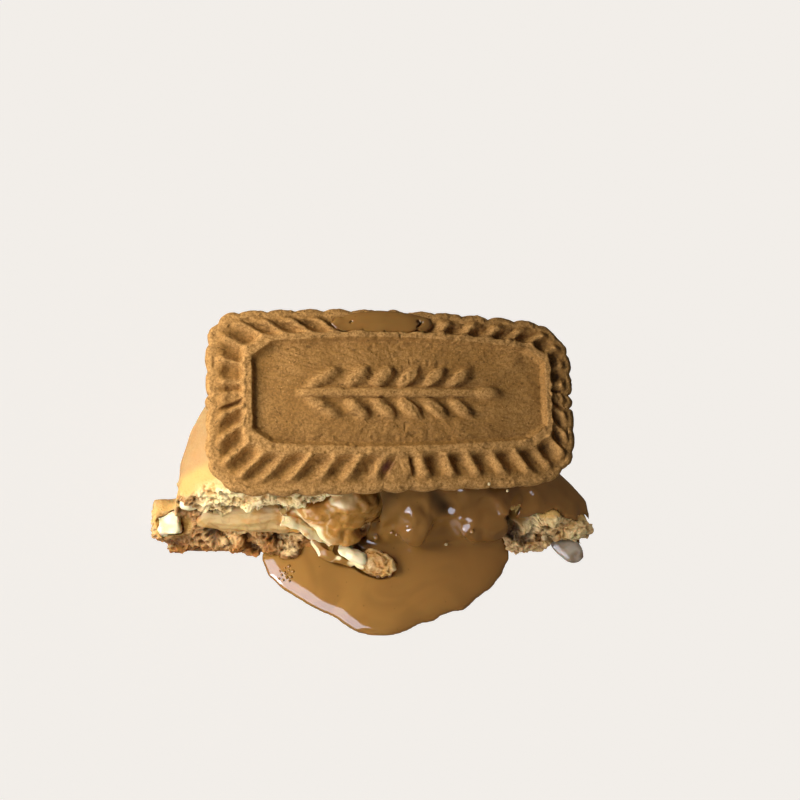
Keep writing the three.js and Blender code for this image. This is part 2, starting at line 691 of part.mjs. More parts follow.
// The layer between the cookie and the biscuit, which shows along the front and at the right.
// There it wraps over the shoulder and hangs a little over the torn side.
function layer() {
  const box = new THREE.BoxGeometry(1, 1, 1, 14, 7, 2);
  deform(box, (p) => {
    const u = lerp(LAYER_LEFT, 1, p.x + 0.5);
    const v = LAYER_BACK * (p.y + 0.5);
    const front = Math.pow(1 - v, 3);
    const a = u * Math.sqrt(1 - 0.5 * v * v);
    const b = v * Math.sqrt(1 - 0.5 * u * u);
    const radius = LAYER_RADIUS * cookieOutline(Math.atan2(b, a));
    const x = COOKIE_CENTRE.x + radius * a;
    const ragged = 0.8 * noise(x, 0, 0, 3.2, 87);
    const lip = lerp(LAYER_LIP, LAYER_END_LIP + ragged, smoothstep(x, 19, 23)) + 1.5 * bump(x - 24, 4);
    const y = COOKIE_CENTRE.y + radius * b - lip * front;
    const rim = Math.max(Math.abs(2 * p.x), 2 * p.y);
    const full = smoothstep(x, -8, 3) * (1 - 0.6 * Math.pow(rim, 4));
    const droop = 1.2 * front * Math.pow(Math.max(0, -2 * p.y), 3) * smoothstep(x, 21, 27);
    const bottom = cookieSurface(x, y) - 1.1 - droop;
    return new THREE.Vector3(x, y, bottom + (p.z + 0.5) * (1.2 + (LAYER_THICKNESS + 0.4) * full));
  });
  return toSolid(box);
}

// ---- Small pieces --------------------------------------------------------------------------

// Spread that lies over the biscuit's back edge.
function smear() {
  const dollop = new THREE.SphereGeometry(1, 12, 6);
  deform(dollop, (p) => {
    const wobble = 1 + 0.16 * noise(p.x, p.y, p.z, 0.6, 91);
    return new THREE.Vector3(9.8 * p.x * wobble, 2.4 * p.y * wobble, 0.9 * p.z);
  });
  dollop.translate(-2.1, halfWidth - 1.8, -0.35);
  const overEdge = new THREE.SphereGeometry(1, 12, 6);
  overEdge.scale(7.4, 1.1, 1.8).translate(-2, halfWidth - 0.3, -1.6);
  const solid = toSolid(dollop).add(toSolid(overEdge));
  return toSolid(toGeometry(solid).applyMatrix4(biscuitMatrix));
}

// A ribbon of white cream that winds down over the filling.
function ribbon() {
  const stops = [[-17.4, 10.6], [-15, 9.8], [-13, 8.2], [-11, 6.2], [-8.6, 4.6]];
  const path = new THREE.CatmullRomCurve3(
    stops.map(([x, z]) => new THREE.Vector3(x, tornFace(x, z) - 1.9, z)),
  );
  const shape = new THREE.Shape();
  shape.absellipse(0, 0, 1.3, 0.8, 0, 2 * Math.PI);
  return toSolid(new THREE.ExtrudeGeometry(shape, {
    steps: 9, curveSegments: 4, bevelEnabled: false, extrudePath: path,
  }));
}

// ---- Assembly ------------------------------------------------------------------------------

const biscuitGeometry = toGeometry(biscuitBody());
const clearance = biscuitClearance();

const chocolateChunk = chunk({
  at: [-38.2, -10.8, 6.1], size: [1.9, 1.7, 1.9], turn: [16, 8, 10], rough: 0.32, seed: 101,
});
const chocolateBit = lump({
  at: [-33.8, -8.7, 11.4], size: [1.7, 1.4, 1.2], turn: [0, 20, 10], rough: 0.25, seed: 102,
});
const fallenChocolate = lump({
  at: [-5.1, -15.8, 4.6], size: [3, 1.8, 1.1], turn: [-24, 10, -26], rough: 0.25, seed: 103,
});
const fallenCrumb = aboveGround(joined([
  lump({
    at: [-0.7, -17.1, 2.7], size: [4.6, 2.2, 2.1], turn: [0, 0, -20], rough: 0.3, seed: 104,
  }),
  lump({ at: [-7.4, -14.8, 2.9], size: [5.4, 2.3, 2], turn: [0, 8, -18], rough: 0.2, seed: 105 }),
]));
const drip = aboveGround(lump({
  at: [35.2, -14.8, 0.9], size: [2.9, 1.5, 1.2], turn: [0, 0, -22], rough: 0.08, seed: 108,
}));

const filling = fillingSolid();
const cream = ribbon();

const wholeCookie = joined([cookieBody(COOKIE_STEPS), ...cookieLobe(), ...tornCrags()]);
const cookie = largestBody(
  clearOf(
    aboveGround(wholeCookie).subtract(joined(cookieHollows())).subtract(clearance),
    [filling, chocolateChunk, chocolateBit],
  ),
);
const creamPiece = largestBody(clearOf(cream, [cookie]));
const fillingPiece = largestBody(clearOf(filling.subtract(clearance), [cream]));
const fallenPiece = largestBody(
  clearOf(fallenCrumb, [fallenChocolate, cookie, cream, fillingPiece]),
);
const dripPiece = largestBody(clearOf(drip, [cookie]));
const flow = aboveGround(joined([puddle(), curtain(), layer()])).subtract(clearance);
const spread = largestBody(
  clearOf(flow, [cookie, fillingPiece, cream, fallenPiece, fallenChocolate, dripPiece]),
);
const placedBiscuit = toSolid(biscuitGeometry.clone().applyMatrix4(biscuitMatrix));
const smearPiece = largestBody(clearOf(smear(), [placedBiscuit]));

function material(color, roughness) {
  return new THREE.MeshStandardMaterial({ color, roughness, metalness: 0 });
}

function named(name, geometry, finish) {
  const mesh = new THREE.Mesh(geometry, finish);
  mesh.name = name;
  return mesh;
}

const stuffedCookie = new THREE.Group();
stuffedCookie.name = "stuffed_cookie";

const crumb = material(0xe0bd80, 0.85);
const caramel = material(0xc8985a, 0.45);
const glossySpread = material(0x93662f, 0.12);
const bakedBiscuit = material(0xa4713b, 0.8);
const whiteChocolate = material(0xece3c4, 0.4);
const whiteCream = material(0xf0e6cc, 0.35);

stuffedCookie.add(
  named("cookie", toGeometry(cookie), crumb),
  named("filling", toGeometry(fillingPiece), caramel),
  named("melted_spread", toGeometry(spread), glossySpread),
  named("spread_smear", toGeometry(smearPiece), glossySpread),
  named("cream_ribbon", toGeometry(creamPiece), whiteCream),
  named("white_chocolate_chunk", toGeometry(largestBody(chocolateChunk)), whiteChocolate),
  named("white_chocolate_bit", toGeometry(largestBody(chocolateBit)), whiteChocolate),
  named("fallen_cookie_piece", toGeometry(fallenPiece), crumb),
  named("fallen_white_chocolate", toGeometry(largestBody(fallenChocolate)), whiteChocolate),
  named("glaze_drip", toGeometry(dripPiece), glossySpread),
);

const biscuit = named("biscuit", biscuitGeometry, bakedBiscuit);
biscuit.position.copy(BISCUIT_PLACE);
biscuit.rotation.copy(biscuitTurn);
stuffedCookie.add(biscuit);

export default stuffedCookie;
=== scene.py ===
"""Stuffed cookie: a torn cookie with caramel filling, melted spread and a biscuit on top.

Shape functions work in millimetres. A noise call takes points, the size of its bumps and a seed.
"""
import itertools
import math

import bpy
import numpy as np
from mathutils import Matrix, Vector


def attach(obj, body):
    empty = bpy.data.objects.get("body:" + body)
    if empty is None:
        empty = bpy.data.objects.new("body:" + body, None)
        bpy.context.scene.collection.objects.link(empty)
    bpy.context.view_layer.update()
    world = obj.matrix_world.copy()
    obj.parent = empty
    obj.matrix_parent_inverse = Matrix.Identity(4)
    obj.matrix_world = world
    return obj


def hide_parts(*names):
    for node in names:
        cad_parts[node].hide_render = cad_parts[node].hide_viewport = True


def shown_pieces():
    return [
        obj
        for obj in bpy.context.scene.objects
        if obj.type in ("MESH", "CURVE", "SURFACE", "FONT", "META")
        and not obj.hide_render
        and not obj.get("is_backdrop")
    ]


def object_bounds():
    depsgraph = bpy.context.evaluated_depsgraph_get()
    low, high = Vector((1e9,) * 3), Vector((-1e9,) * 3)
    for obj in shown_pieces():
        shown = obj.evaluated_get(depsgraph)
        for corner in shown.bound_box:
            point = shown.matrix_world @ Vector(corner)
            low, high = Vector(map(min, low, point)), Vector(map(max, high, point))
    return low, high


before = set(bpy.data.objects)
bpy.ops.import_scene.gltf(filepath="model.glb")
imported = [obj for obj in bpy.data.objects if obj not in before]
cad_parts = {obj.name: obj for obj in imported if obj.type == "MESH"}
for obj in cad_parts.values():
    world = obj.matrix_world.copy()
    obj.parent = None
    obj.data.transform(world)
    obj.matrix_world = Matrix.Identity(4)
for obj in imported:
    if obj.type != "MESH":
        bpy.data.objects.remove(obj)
CAD_BOX = [list(corner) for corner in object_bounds()]

bl_info = {
    "name": "Stuffed Cookie",
    "version": (1, 0, 0),
    "blender": (4, 5, 0),
    "location": "View3D > Sidebar > Cookie",
    "description": "Dresses the packed stuffed cookie with crumb, caramel, spread and biscuit",
    "category": "Object",
}

MM = 0.001


def paint(red, green, blue):
    """A colour given as 0 to 255 screen values, as the linear values that a shader takes."""
    shares = [value / 255 for value in (red, green, blue)]
    return tuple(
        share / 12.92 if share <= 0.04045 else ((share + 0.055) / 1.055) ** 2.4
        for share in shares
    )


# ---- Settings ----------------------------------------------------------------------------


def length_setting(name, description, millimetres):
    """A length that a user can change."""
    return bpy.props.FloatProperty(
        name=name, description=description, default=millimetres * MM, subtype="DISTANCE",
        unit="LENGTH",
    )


def colour_setting(name, description, *screen):
    """A colour that a user can change, from 0 to 255 screen values."""
    return bpy.props.FloatVectorProperty(
        name=name, description=description, default=paint(*screen), subtype="COLOR", size=3,
        min=0, max=1,
    )


def power_setting(name, description, watts):
    """A light's power that a user can change."""
    return bpy.props.FloatProperty(
        name=name, description=description, default=watts, subtype="POWER", unit="POWER", min=0,
    )


class BiscuitSettings(bpy.types.PropertyGroup):
    """Sizes and colours of the baked biscuit."""

    length: length_setting("Length", "Length over the scallops", 64.4)
    width: length_setting("Width", "Width at the middle, over the scallops", 30.4)
    thickness: length_setting("Thickness", "From the underside to the frame ridge", 6.5)
    rib_relief: length_setting("Rib relief", "How far the ribs stand out of the border", 1.2)
    motif_relief: length_setting("Motif relief", "How far the ear of grain stands out", 0.9)
    # The ridge colour is painted light on the raised relief, and the panel colour is painted shade
    # in the grooves and panel.
    ridge_colour: colour_setting("Ridges", "Baked ribs and frame", 186, 141, 83)
    panel_colour: colour_setting("Panel", "Baked panel and grooves", 156, 113, 58)


class CookieSettings(bpy.types.PropertyGroup):
    """Relief and colours of the cookie."""

    crag_depth: length_setting("Crag depth", "Depth of the torn side's relief", 1.1)
    crust_colour: colour_setting("Crust", "Golden top and side of the cookie", 174, 138, 90)
    crumb_colour: colour_setting("Crumb", "Pale inside on the torn side", 244, 224, 170)
    browned_colour: colour_setting("Browned", "Browned foot and edges", 165, 112, 52)


class FillingSettings(bpy.types.PropertyGroup):
    """Colours of the caramel, cream and white chocolate."""

    caramel_colour: colour_setting("Caramel", "Milk caramel in the middle", 196, 142, 70)
    pale_colour: colour_setting("Pale filling", "Paler, drier filling on the left", 200, 168, 112)
    cream_colour: colour_setting("Cream", "Cream swirled into the caramel", 250, 232, 184)
    chocolate_colour: colour_setting("White chocolate", "White chunks", 234, 225, 184)


class SpreadSettings(bpy.types.PropertyGroup):
    """Finish of the melted spread."""

    spread_colour: colour_setting("Spread", "Caramel brown of the spread", 150, 109, 54)
    # The darker brown is partly thicker spread and partly painted shade, laid on more towards the
    # right.
    thick_and_shaded_colour: colour_setting("Deep spread", "Darker brown where it is thick", 122, 85, 42)
    gloss: bpy.props.FloatProperty(
        name="Roughness", description="Roughness of the wet surface", default=0.07,
        subtype="FACTOR", min=0, max=1,
    )


class StageSettings(bpy.types.PropertyGroup):
    """Floor, light and camera."""

    floor_colour: colour_setting("Floor", "Pale floor and backdrop", 242, 238, 233)
    key_power: power_setting("Key light", "Power of the soft light on the left", 0.31)
    card_power: power_setting("Card", "Power of the low fill card in front", 0.1)
    camera_place: bpy.props.FloatVectorProperty(
        name="Camera", description="Where the camera stands", default=(0.0039, -0.0624, 0.1639),
        subtype="TRANSLATION", unit="LENGTH", size=3,
    )
    camera_tilt: bpy.props.FloatProperty(
        name="Camera tilt", description="Angle between straight down and the view",
        default=math.radians(26), subtype="ANGLE", unit="ROTATION",
    )


SETTINGS = {
    "cookie_biscuit": BiscuitSettings,
    "cookie_body": CookieSettings,
    "cookie_filling": FillingSettings,
    "cookie_spread": SpreadSettings,
    "cookie_stage": StageSettings,
}


# ---- Repeatable noise ----------------------------------------------------------------------

TOP_WORD = 4294967295.0  # the largest whole number of 32 bits
CELL_MIXERS = (374761393, 668265263, 974634777)
SEED_MIXER = 1274126177
MIXING_ROUNDS = ((15, 2246822519), (13, 3266489917))  # shift and factor of each


def smoothstep(value, low, high):
    """0 at low and below, 1 at high and above, with a soft start and end between."""
    share = np.clip((value - low) / (high - low), 0, 1)
    return share * share * (3 - 2 * share)


def bump(distance, radius):
    """1 at distance 0, falling smoothly to 0 at the radius."""
    return 1 - smoothstep(np.abs(distance), 0, radius)


def band(value, start, full, fading, end):
    """1 from full to fading, falling smoothly to 0 at start and at end."""
    return smoothstep(value, start, full) * (1 - smoothstep(value, fading, end))


def near(points, centre, radius):
    """1 at the centre, falling smoothly to 0 at the radius."""
    return bump(np.linalg.norm(points - centre, axis=1), radius)


def distance_to(points, start, end):
    """How far the points are from the line between two places."""
    start, step = np.array(start), np.array(end) - np.array(start)
    share = np.clip((points - start) @ step / (step @ step), 0, 1)
    return np.linalg.norm(points - start - share[:, None] * step, axis=1)


def scatter(cells, seed):
    """A repeatable number from 0 to 1 for each row of whole numbers."""
    mixed = (cells.astype(np.int64) @ np.array(CELL_MIXERS) + seed * SEED_MIXER).astype(np.uint32)
    for shift, factor in MIXING_ROUNDS:
        mixed ^= mixed >> np.uint32(shift)
        mixed *= np.uint32(factor)
    mixed ^= mixed >> np.uint32(16)
    return mixed / TOP_WORD


def soft_noise(points, size, seed):
    """Smooth noise from -1 to 1 with bumps about `size` wide."""
    scaled = points / size
    cells = np.floor(scaled).astype(np.int64)
    part = scaled - cells
    part = part * part * (3 - 2 * part)
    total = np.zeros(len(points))
    for corner in itertools.product((0, 1), repeat=3):
        weight = np.prod(np.where(np.array(corner, bool), part, 1 - part), axis=1)
        total += weight * scatter(cells + np.array(corner), seed)
    return 2 * total - 1


def rough_noise(points, size, seed, octaves=3):
    """Noise from about -1 to 1 whose bumps carry ever smaller ones."""
    layers = [soft_noise(points, size / 2**step, seed + step) / 2**step for step in range(octaves)]
    return sum(layers) / 1.3


def warp_of(points, size, seed):
    """A smooth shift from -1 to 1 along each axis, to bend another noise."""
    return np.stack([soft_noise(points, size, seed + axis) for axis in range(3)], axis=1)


def packed_grains(points, size, seed):
    """Rounded grains side by side: up to 1 in the middle of a grain, near 0 between grains."""
    scaled = points / size
    cells = np.floor(scaled).astype(np.int64)
    nearest = np.full(len(points), 9.0)
    for shift in itertools.product((-1, 0, 1), repeat=3):
        cell = cells + np.array(shift)
        jitter = np.stack([scatter(cell, seed + axis) for axis in range(3)], axis=1)
        nearest = np.minimum(nearest, np.linalg.norm(scaled - cell - jitter, axis=1))
    return 1 - np.clip(nearest, 0, 1)


# ---- Meshes --------------------------------------------------------------------------------


def pick(piece):
    """Makes the piece the only selected and the active object."""
    bpy.ops.object.select_all(action="DESELECT")
    piece.select_set(True)
    bpy.context.view_layer.objects.active = piece
    return piece


def added(name):
    """Names the object that an operator has just added, and its mesh."""
    piece = bpy.context.object
    piece.name = name
    piece.data.name = name
    return piece


def copy_of(node):
    """A new piece from a CAD node's mesh, with its loose triangles merged."""
    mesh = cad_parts[node].data.copy()
    mesh.materials.clear()
    piece = bpy.data.objects.new(node, mesh)
    mesh.name = node
    bpy.context.scene.collection.objects.link(piece)
    pick(piece)
    bpy.ops.object.mode_set(mode="EDIT")
    bpy.ops.mesh.select_all(action="SELECT")
    bpy.ops.mesh.remove_doubles(threshold=1e-6)
    bpy.ops.object.mode_set(mode="OBJECT")
    return piece


def apply_modifier(piece, kind, **values):
    """Adds a modifier with these values and applies it."""
    pick(piece)
    modifier = piece.modifiers.new(kind.lower(), kind)
    for name, value in values.items():
        setattr(modifier, name, value)
    bpy.ops.object.modifier_apply(modifier=modifier.name)


def remeshed(node, voxel, smoothing):
    """A copy of a CAD node as even quads `voxel` millimetres wide, its creases softened."""
    piece = copy_of(node)
    apply_modifier(piece, "REMESH", mode="VOXEL", voxel_size=voxel * MM, adaptivity=0)
    apply_modifier(piece, "SMOOTH", factor=0.5, iterations=smoothing)
    return piece


def places(piece):
    """Where the vertices are, in millimetres, one row each."""
    values = np.empty(len(piece.data.vertices) * 3)
    piece.data.vertices.foreach_get("co", values)
    return values.reshape(-1, 3) / MM


def directions(piece):
    """The vertex normals, one row each."""
    values = np.empty(len(piece.data.vertices) * 3, np.float32)
    piece.data.vertex_normals.foreach_get("vector", values)
    return values.reshape(-1, 3).astype(float)


def put(piece, points):
    """Moves the vertices to these places in millimetres."""
    piece.data.vertices.foreach_set("co", (points * MM).ravel())
    piece.data.update()


def raise_relief(piece, height):
    """Moves each vertex along its normal by its height in millimetres."""
    put(piece, places(piece) + directions(piece) * height[:, None])


def ground(piece):
    """Keeps the piece on or above the surface that it rests on."""
    points = places(piece)
    points[:, 2] = np.maximum(points[:, 2], 0)
    put(piece, points)


def mark(piece, **marks):
    """Stores named numbers for each vertex, or one for all, which the material reads."""
    for name, values in marks.items():
        attribute = piece.data.attributes.new(name, "FLOAT", "POINT")
        every = np.broadcast_to(values, len(piece.data.vertices))
        attribute.data.foreach_set("value", every.astype(np.float32))


def finished(piece, nodes, material):
    """Keeps the piece inside the solids' box, gives it its finish, body and slot, and hides the
    nodes that it replaces.
    """
    low, high = np.array(CAD_BOX) / MM
    put(piece, np.clip(places(piece), low, high))
    pick(piece)
    bpy.ops.object.shade_smooth()
    piece.data.materials.clear()
    piece.data.materials.append(material)
    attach(piece, "root")
    if nodes:
        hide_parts(*nodes)


# ---- Finishes ------------------------------------------------------------------------------


class Finish:
    """A material that is built up node by node on Object coordinates."""

    def __init__(self, name):
        self.material = bpy.data.materials.new(name)
        self.material.use_nodes = True
        self.tree = self.material.node_tree
        self.shader = self.tree.nodes["Principled BSDF"]
        self.where = self.tree.nodes.new("ShaderNodeTexCoord").outputs["Object"]

    def set(self, **values):
        """Constants go straight on the shader's sockets."""
        for name, value in values.items():
            self.shader.inputs[name.replace("_", " ")].default_value = value
        return self

    def feed(self, value, socket):
        """Links an output to the socket, or sets a number or a colour on it."""
        if isinstance(value, bpy.types.NodeSocket):
            self.tree.links.new(value, socket)
        else:
            socket.default_value = (*value, 1) if isinstance(value, tuple) else value

    def node(self, kind, inputs=(), **values):
        """A new node with its options and inputs set."""
        made = self.tree.nodes.new(kind)
        for name, value in values.items():
            setattr(made, name, value)
        for name, value in dict(inputs).items():
            self.feed(value, made.inputs[name])
        return made

    def noise(self, size, detail=3.0, roughness=0.5, distortion=0.0):
        """Noise from 0 to 1 with bumps about `size` millimetres wide."""
        inputs = {
            "Vector": self.where, "Scale": 1 / (size * MM), "Detail": detail,
            "Roughness": roughness, "Distortion": distortion,
        }
        return self.node("ShaderNodeTexNoise", inputs).outputs["Fac"]

    def cells(self, size):
        """Distance to the nearest of points about `size` millimetres apart."""
        inputs = {"Vector": self.where, "Scale": 1 / (size * MM)}
        return self.node("ShaderNodeTexVoronoi", inputs).outputs["Distance"]

    def marked(self, name):
        """The number that the mesh stores under this name."""
        return self.node("ShaderNodeAttribute", attribute_name=name).outputs["Fac"]

    def patches(self, size, detail, low, high, most=1.0, distortion=0.0):
        """A share from 0 to `most`, in patches where the noise rises from low to high."""
        return self.ramp(self.noise(size, detail, distortion=distortion), low, high, 0, most)

    def ramp(self, value, low, high, to_low=0.0, to_high=1.0):
        """Turns a number softly from one range into another."""
        inputs = {
            "Value": value, "From Min": low, "From Max": high,
            "To Min": to_low, "To Max": to_high,
        }
        return self.node("ShaderNodeMapRange", inputs, interpolation_type="SMOOTHSTEP").outputs[0]

    def times(self, first, second):
        """Two numbers multiplied."""
        made = self.node("ShaderNodeMath", operation="MULTIPLY", use_clamp=True)
        for socket, value in zip(made.inputs, (first, second)):
            self.feed(value, socket)
        return made.outputs[0]

    def blend(self, share, first, second):
        """The first colour turning into the second."""
        made = self.node("ShaderNodeMix", data_type="RGBA", blend_type="MIX")
        for index, value in ((0, share), (6, first), (7, second)):
            self.feed(value, made.inputs[index])
        return made.outputs[2]

    def layered(self, base, *layers):
        """A colour with others over it: each layer is its share and its colour."""
        for share, colour in layers:
            base = self.blend(share, base, colour)
        return base

    def colour(self, socket):
        """The output that gives the base colour."""
        self.tree.links.new(socket, self.shader.inputs["Base Color"])
        return self

    def rough(self, socket):
        """The output that gives the roughness."""
        self.tree.links.new(socket, self.shader.inputs["Roughness"])

    def relief(self, *layers):
        """Fine relief: each layer is a height from 0 to 1 and its depth in millimetres."""
        normal = None
        for height, depth in layers:
            inputs = {"Height": height, "Strength": 1.0, "Distance": depth * MM}
            if normal is not None:
                inputs["Normal"] = normal
            normal = self.node("ShaderNodeBump", inputs).outputs["Normal"]
        self.tree.links.new(normal, self.shader.inputs["Normal"])


STAIN_BROWN = paint(104, 58, 56)
CRUST_PATCHES = paint(172, 122, 72)
CRUST_FLOUR = paint(198, 162, 102)
CRUST_EDGE = paint(202, 162, 94)
CRUMB_SHADE = paint(176, 128, 66)
CRUMB_MOIST = paint(206, 158, 78)
HONEY = paint(196, 142, 62)
GLAZE_PALE = paint(172, 160, 146)
GLAZE_DARK = paint(140, 120, 98)


def tinted(colour, factor):
    """The colour made lighter or darker."""
    return tuple(min(1.0, channel * factor) for channel in colour)


def biscuit_finish(settings):
    """Baked dough: fine sandy grain, ridges painted lighter as lit relief, darker pores and pale
    sugar specks.
    """
    finish = Finish("baked_biscuit")
    ridge, panel = tuple(settings.ridge_colour), tuple(settings.panel_colour)
    grain = finish.noise(0.42, detail=4, roughness=0.7)
    base = finish.layered(
        panel,
        # painted light: raised ridges, rim, frame and motif lighter than the grooves and panel
        (finish.marked("toast"), ridge),
        (finish.patches(7, 2, 0.35, 0.7, 0.35), tinted(ridge, 1.12)),
        (finish.ramp(grain, 0.38, 0.62, 0.75, 0), tinted(panel, 0.58)),
        (finish.patches(0.75, 1, 0.68, 0.74, 0.8), tinted(panel, 0.4)),
        (finish.ramp(finish.cells(0.9), 0.08, 0.16, 0.45, 0), tinted(ridge, 1.35)),
        (finish.marked("stain"), STAIN_BROWN),
    )
    finish.colour(base).set(Roughness=0.8, Specular_IOR_Level=0.12)
    finish.relief((finish.noise(1.1, detail=2), 0.12), (grain, 0.16))
    return finish.material


def cookie_finish(settings, coat, cream):
    """Golden crust, pale open crumb, a browned foot, and where it is coated a wet gloss, with shade
    painted into the crumb's low places and hollows.
    """
    finish = Finish("cookie_crumb")
    browned = tuple(settings.browned_colour)
    skin = finish.layered(
        tuple(settings.crust_colour),
        (finish.patches(6, 4, 0.42, 0.72, 0.45), CRUST_PATCHES),
        (finish.patches(0.8, 2, 0.5, 0.7, 0.2), CRUST_FLOUR),
        (finish.marked("pale_edge"), CRUST_EDGE),
    )
    # painted shade: the crumb darker where it stands back, pale where it stands out
    inside = finish.layered(
        CRUMB_SHADE,
        (finish.ramp(finish.marked("stand"), 0.2, 0.65), tuple(settings.crumb_colour)),
        (finish.patches(3.2, 3, 0.46, 0.7, 0.6), CRUMB_MOIST),
        (finish.patches(0.5, 2, 0.58, 0.75, 0.4), tinted(browned, 1.1)),
    )
    # painted shade and light: the browned foot darker where low, lighter where raised
    raised = finish.ramp(finish.marked("stand"), 0.35, 0.8)
    base = finish.layered(
        skin,
        (finish.marked("torn"), inside),
        (finish.marked("browned"),
         finish.blend(raised, tinted(browned, 0.5), tinted(browned, 1.1))),
        # painted shade in the hollows and cavities, and a little towards the right end
        (finish.marked("hollow"), tinted(browned, 0.16)),
        (finish.marked("glazed"), coat),
        (finish.marked("cream"), cream),
    )
    finish.colour(base).set(
        Specular_IOR_Level=0.2, Subsurface_Weight=0.2, Subsurface_Scale=0.8 * MM)
    finish.rough(finish.ramp(finish.marked("glazed"), 0, 1, 0.7, 0.16))
    dry = finish.ramp(finish.marked("glazed"), 0, 1, 1, 0.1)
    grain = finish.noise(0.4, detail=4, roughness=0.65)
    finish.relief((finish.times(finish.noise(1.4, detail=3), dry), 0.25),
                  (finish.times(grain, dry), 0.16))
    return finish.material


def caramel_finish(settings):
    """Soft filling with swirls of cream, paler and drier to the left."""
    finish = Finish("caramel_filling")
    pale, caramel = tuple(settings.pale_colour), tuple(settings.caramel_colour)
    fine = finish.noise(0.9, detail=3)
    honey = finish.times(finish.patches(3.4, 2, 0.48, 0.62, 0.65), finish.marked("pale"))
    base = finish.layered(
        caramel,
        (finish.marked("pale"), pale),
        (finish.marked("shade"), tinted(caramel, 0.45)),
        (finish.patches(2.6, 2, 0.5, 0.68, 0.5, distortion=1.6), tinted(caramel, 0.66)),
        (finish.ramp(fine, 0.52, 0.7, 0, 0.15), tinted(pale, 1.1)),
        (honey, HONEY),
        (finish.marked("cream"), tuple(settings.cream_colour)),
    )
    finish.colour(base).set(
        Specular_IOR_Level=0.28, Subsurface_Weight=0.2, Subsurface_Scale=1.0 * MM)
    finish.rough(finish.ramp(finish.marked("pale"), 0, 1, 0.24, 0.42))
    finish.relief((finish.noise(1.3, detail=3), 0.14), (fine, 0.06))
    return finish.material


def spread_finish(settings):
    """Wet melted spread: smooth brown with tiny dark specks, darker towards the right partly as
    painted shade, and painted shade in its deep folds.
    """
    finish = Finish("melted_spread")
    deep = tuple(settings.thick_and_shaded_colour)
    base = finish.layered(
        tuple(settings.spread_colour),
        # darker towards the right: partly thicker spread, partly painted shade
        (finish.marked("deep"), deep),
        (finish.patches(9, 2, 0.4, 0.7, 0.4, distortion=1.2), tinted(deep, 0.85)),
        (finish.marked("shadowed"), tinted(deep, 0.12)),
        (finish.ramp(finish.cells(1.9), 0.05, 0.09, 0.5, 0), tinted(deep, 0.45)),
    )
    finish.colour(base).set(
        Roughness=settings.gloss, Specular_IOR_Level=0.5, Subsurface_Weight=0.12,
        Subsurface_Scale=1.5 * MM, Coat_Weight=0.4, Coat_Roughness=0.04)
    finish.relief((finish.noise(5, detail=1), 0.1))
    return finish.material


def creamy_finish(name, colour, shade):
    """Cream or white chocolate: soft, with patches of a second, slightly different colour."""
    finish = Finish(name)
    base = finish.blend(finish.patches(1.6, 3, 0.45, 0.75), colour, shade)
    finish.colour(base).set(
        Roughness=0.35, Specular_IOR_Level=0.5, Subsurface_Weight=0.35,
        Subsurface_Scale=1.2 * MM)
    finish.relief((finish.noise(0.9, detail=3), 0.08))
    return finish.material


def glaze_finish():
    """A pale, half clear drip."""
    finish = Finish("glaze")
    base = finish.blend(finish.patches(2.2, 2, 0.4, 0.7), GLAZE_PALE, GLAZE_DARK)
    finish.colour(base).set(
        Roughness=0.22, Specular_IOR_Level=0.5, Subsurface_Weight=0.3,
        Subsurface_Scale=2.5 * MM, Transmission_Weight=0.2, Coat_Weight=0.2, Coat_Roughness=0.1)
    finish.relief((finish.noise(2.5, detail=1), 0.1))
    return finish.material


# ---- Biscuit -------------------------------------------------------------------------------

BISCUIT_PLACE = (3.4, 5.0, 25.5)
BISCUIT_PITCH = 17.5
BISCUIT_ROLL = 9.5
BISCUIT_YAW = 1.5
CORNER = 5.5
TAPER = 0.045
BOW = 0.4
BACK_BOW = 0.65  # how much more the back side bulges, and less at its ends
WORN = 0.9  # how far the right-hand corners are worn off, both ways
WORN_FRONT = 1.0  # the same for the left-hand front corner
WORN_REACH = 9
SCALLOP_DEPTH = 0.55
PANEL_DEPTH = 0.95
GROOVE_DEPTH = 0.65
FRAME_HALF = (25.9, 9.3)
FRAME_CENTRE = (1.1, 1.4)
FRAME_BOW = 1.0  # how much narrower half the frame is at its ends
CHAMFER = 3.2
STEP_WIDTH = 1.2
STEP_SHARE = 0.07
FRAME_APEX = 0.4  # where the middle scallops meet the frame line, from its middles
FRAME_CORNER = (20.7, 5.6)  # where the corner's ribs meet it, from the middles of its two sides
LONG_MIDDLE = 2.6
SHORT_MIDDLE = 1.3
LONG_SCALLOPS = 5
CORNER_SCALLOPS = 2
SHORT_SCALLOPS = 2
OUTLINE_SEGMENTS = 704
UNDER_INSET = 1.1  # how far the flat underside stays in from the outline
LOWER_ROUND = 0.9  # radius of the lower edge
SIDE_INSET = 0.2
UPPER_START = 1.75  # how far below the rim the upper edge begins
UPPER_ROUND = 0.95  # radius of the upper edge, and inset of the rim
RIB_START = 0.78  # how far below the rim the border begins
FRAME_RISE = 0.12  # how far the frame line stands above the rim
PANEL_CROWN = 0.22
GROOVE_RUN = (0.16, 0.5)  # share of the border where the grooves deepen
RIDGE_RUN = (0.7, 0.87)  # share where they rise again to the frame line
STEP_RUN = (0.12, 0.9)
SECTION_RINGS = (4, 5, 5, 6, 36, 10, 34)  # from the underside to the panel, part by part
RIM, BORDER, PANEL, UNDERSIDE = range(4)  # the kinds of ring


def biscuit_matrix():
    """Where the biscuit's rim plane lies: turned about Y, then X, then Z."""
    turn = (
        Matrix.Rotation(math.radians(BISCUIT_YAW), 4, "Z")
        @ Matrix.Rotation(math.radians(BISCUIT_PITCH), 4, "X")
        @ Matrix.Rotation(math.radians(BISCUIT_ROLL), 4, "Y")
    )
    return Matrix.Translation(BISCUIT_PLACE) @ turn


def laid_on_cookie(points):
    """Points of the biscuit's own frame, moved to where it lies."""
    matrix = np.array(biscuit_matrix())
    return points @ matrix[:3, :3].T + matrix[:3, 3]


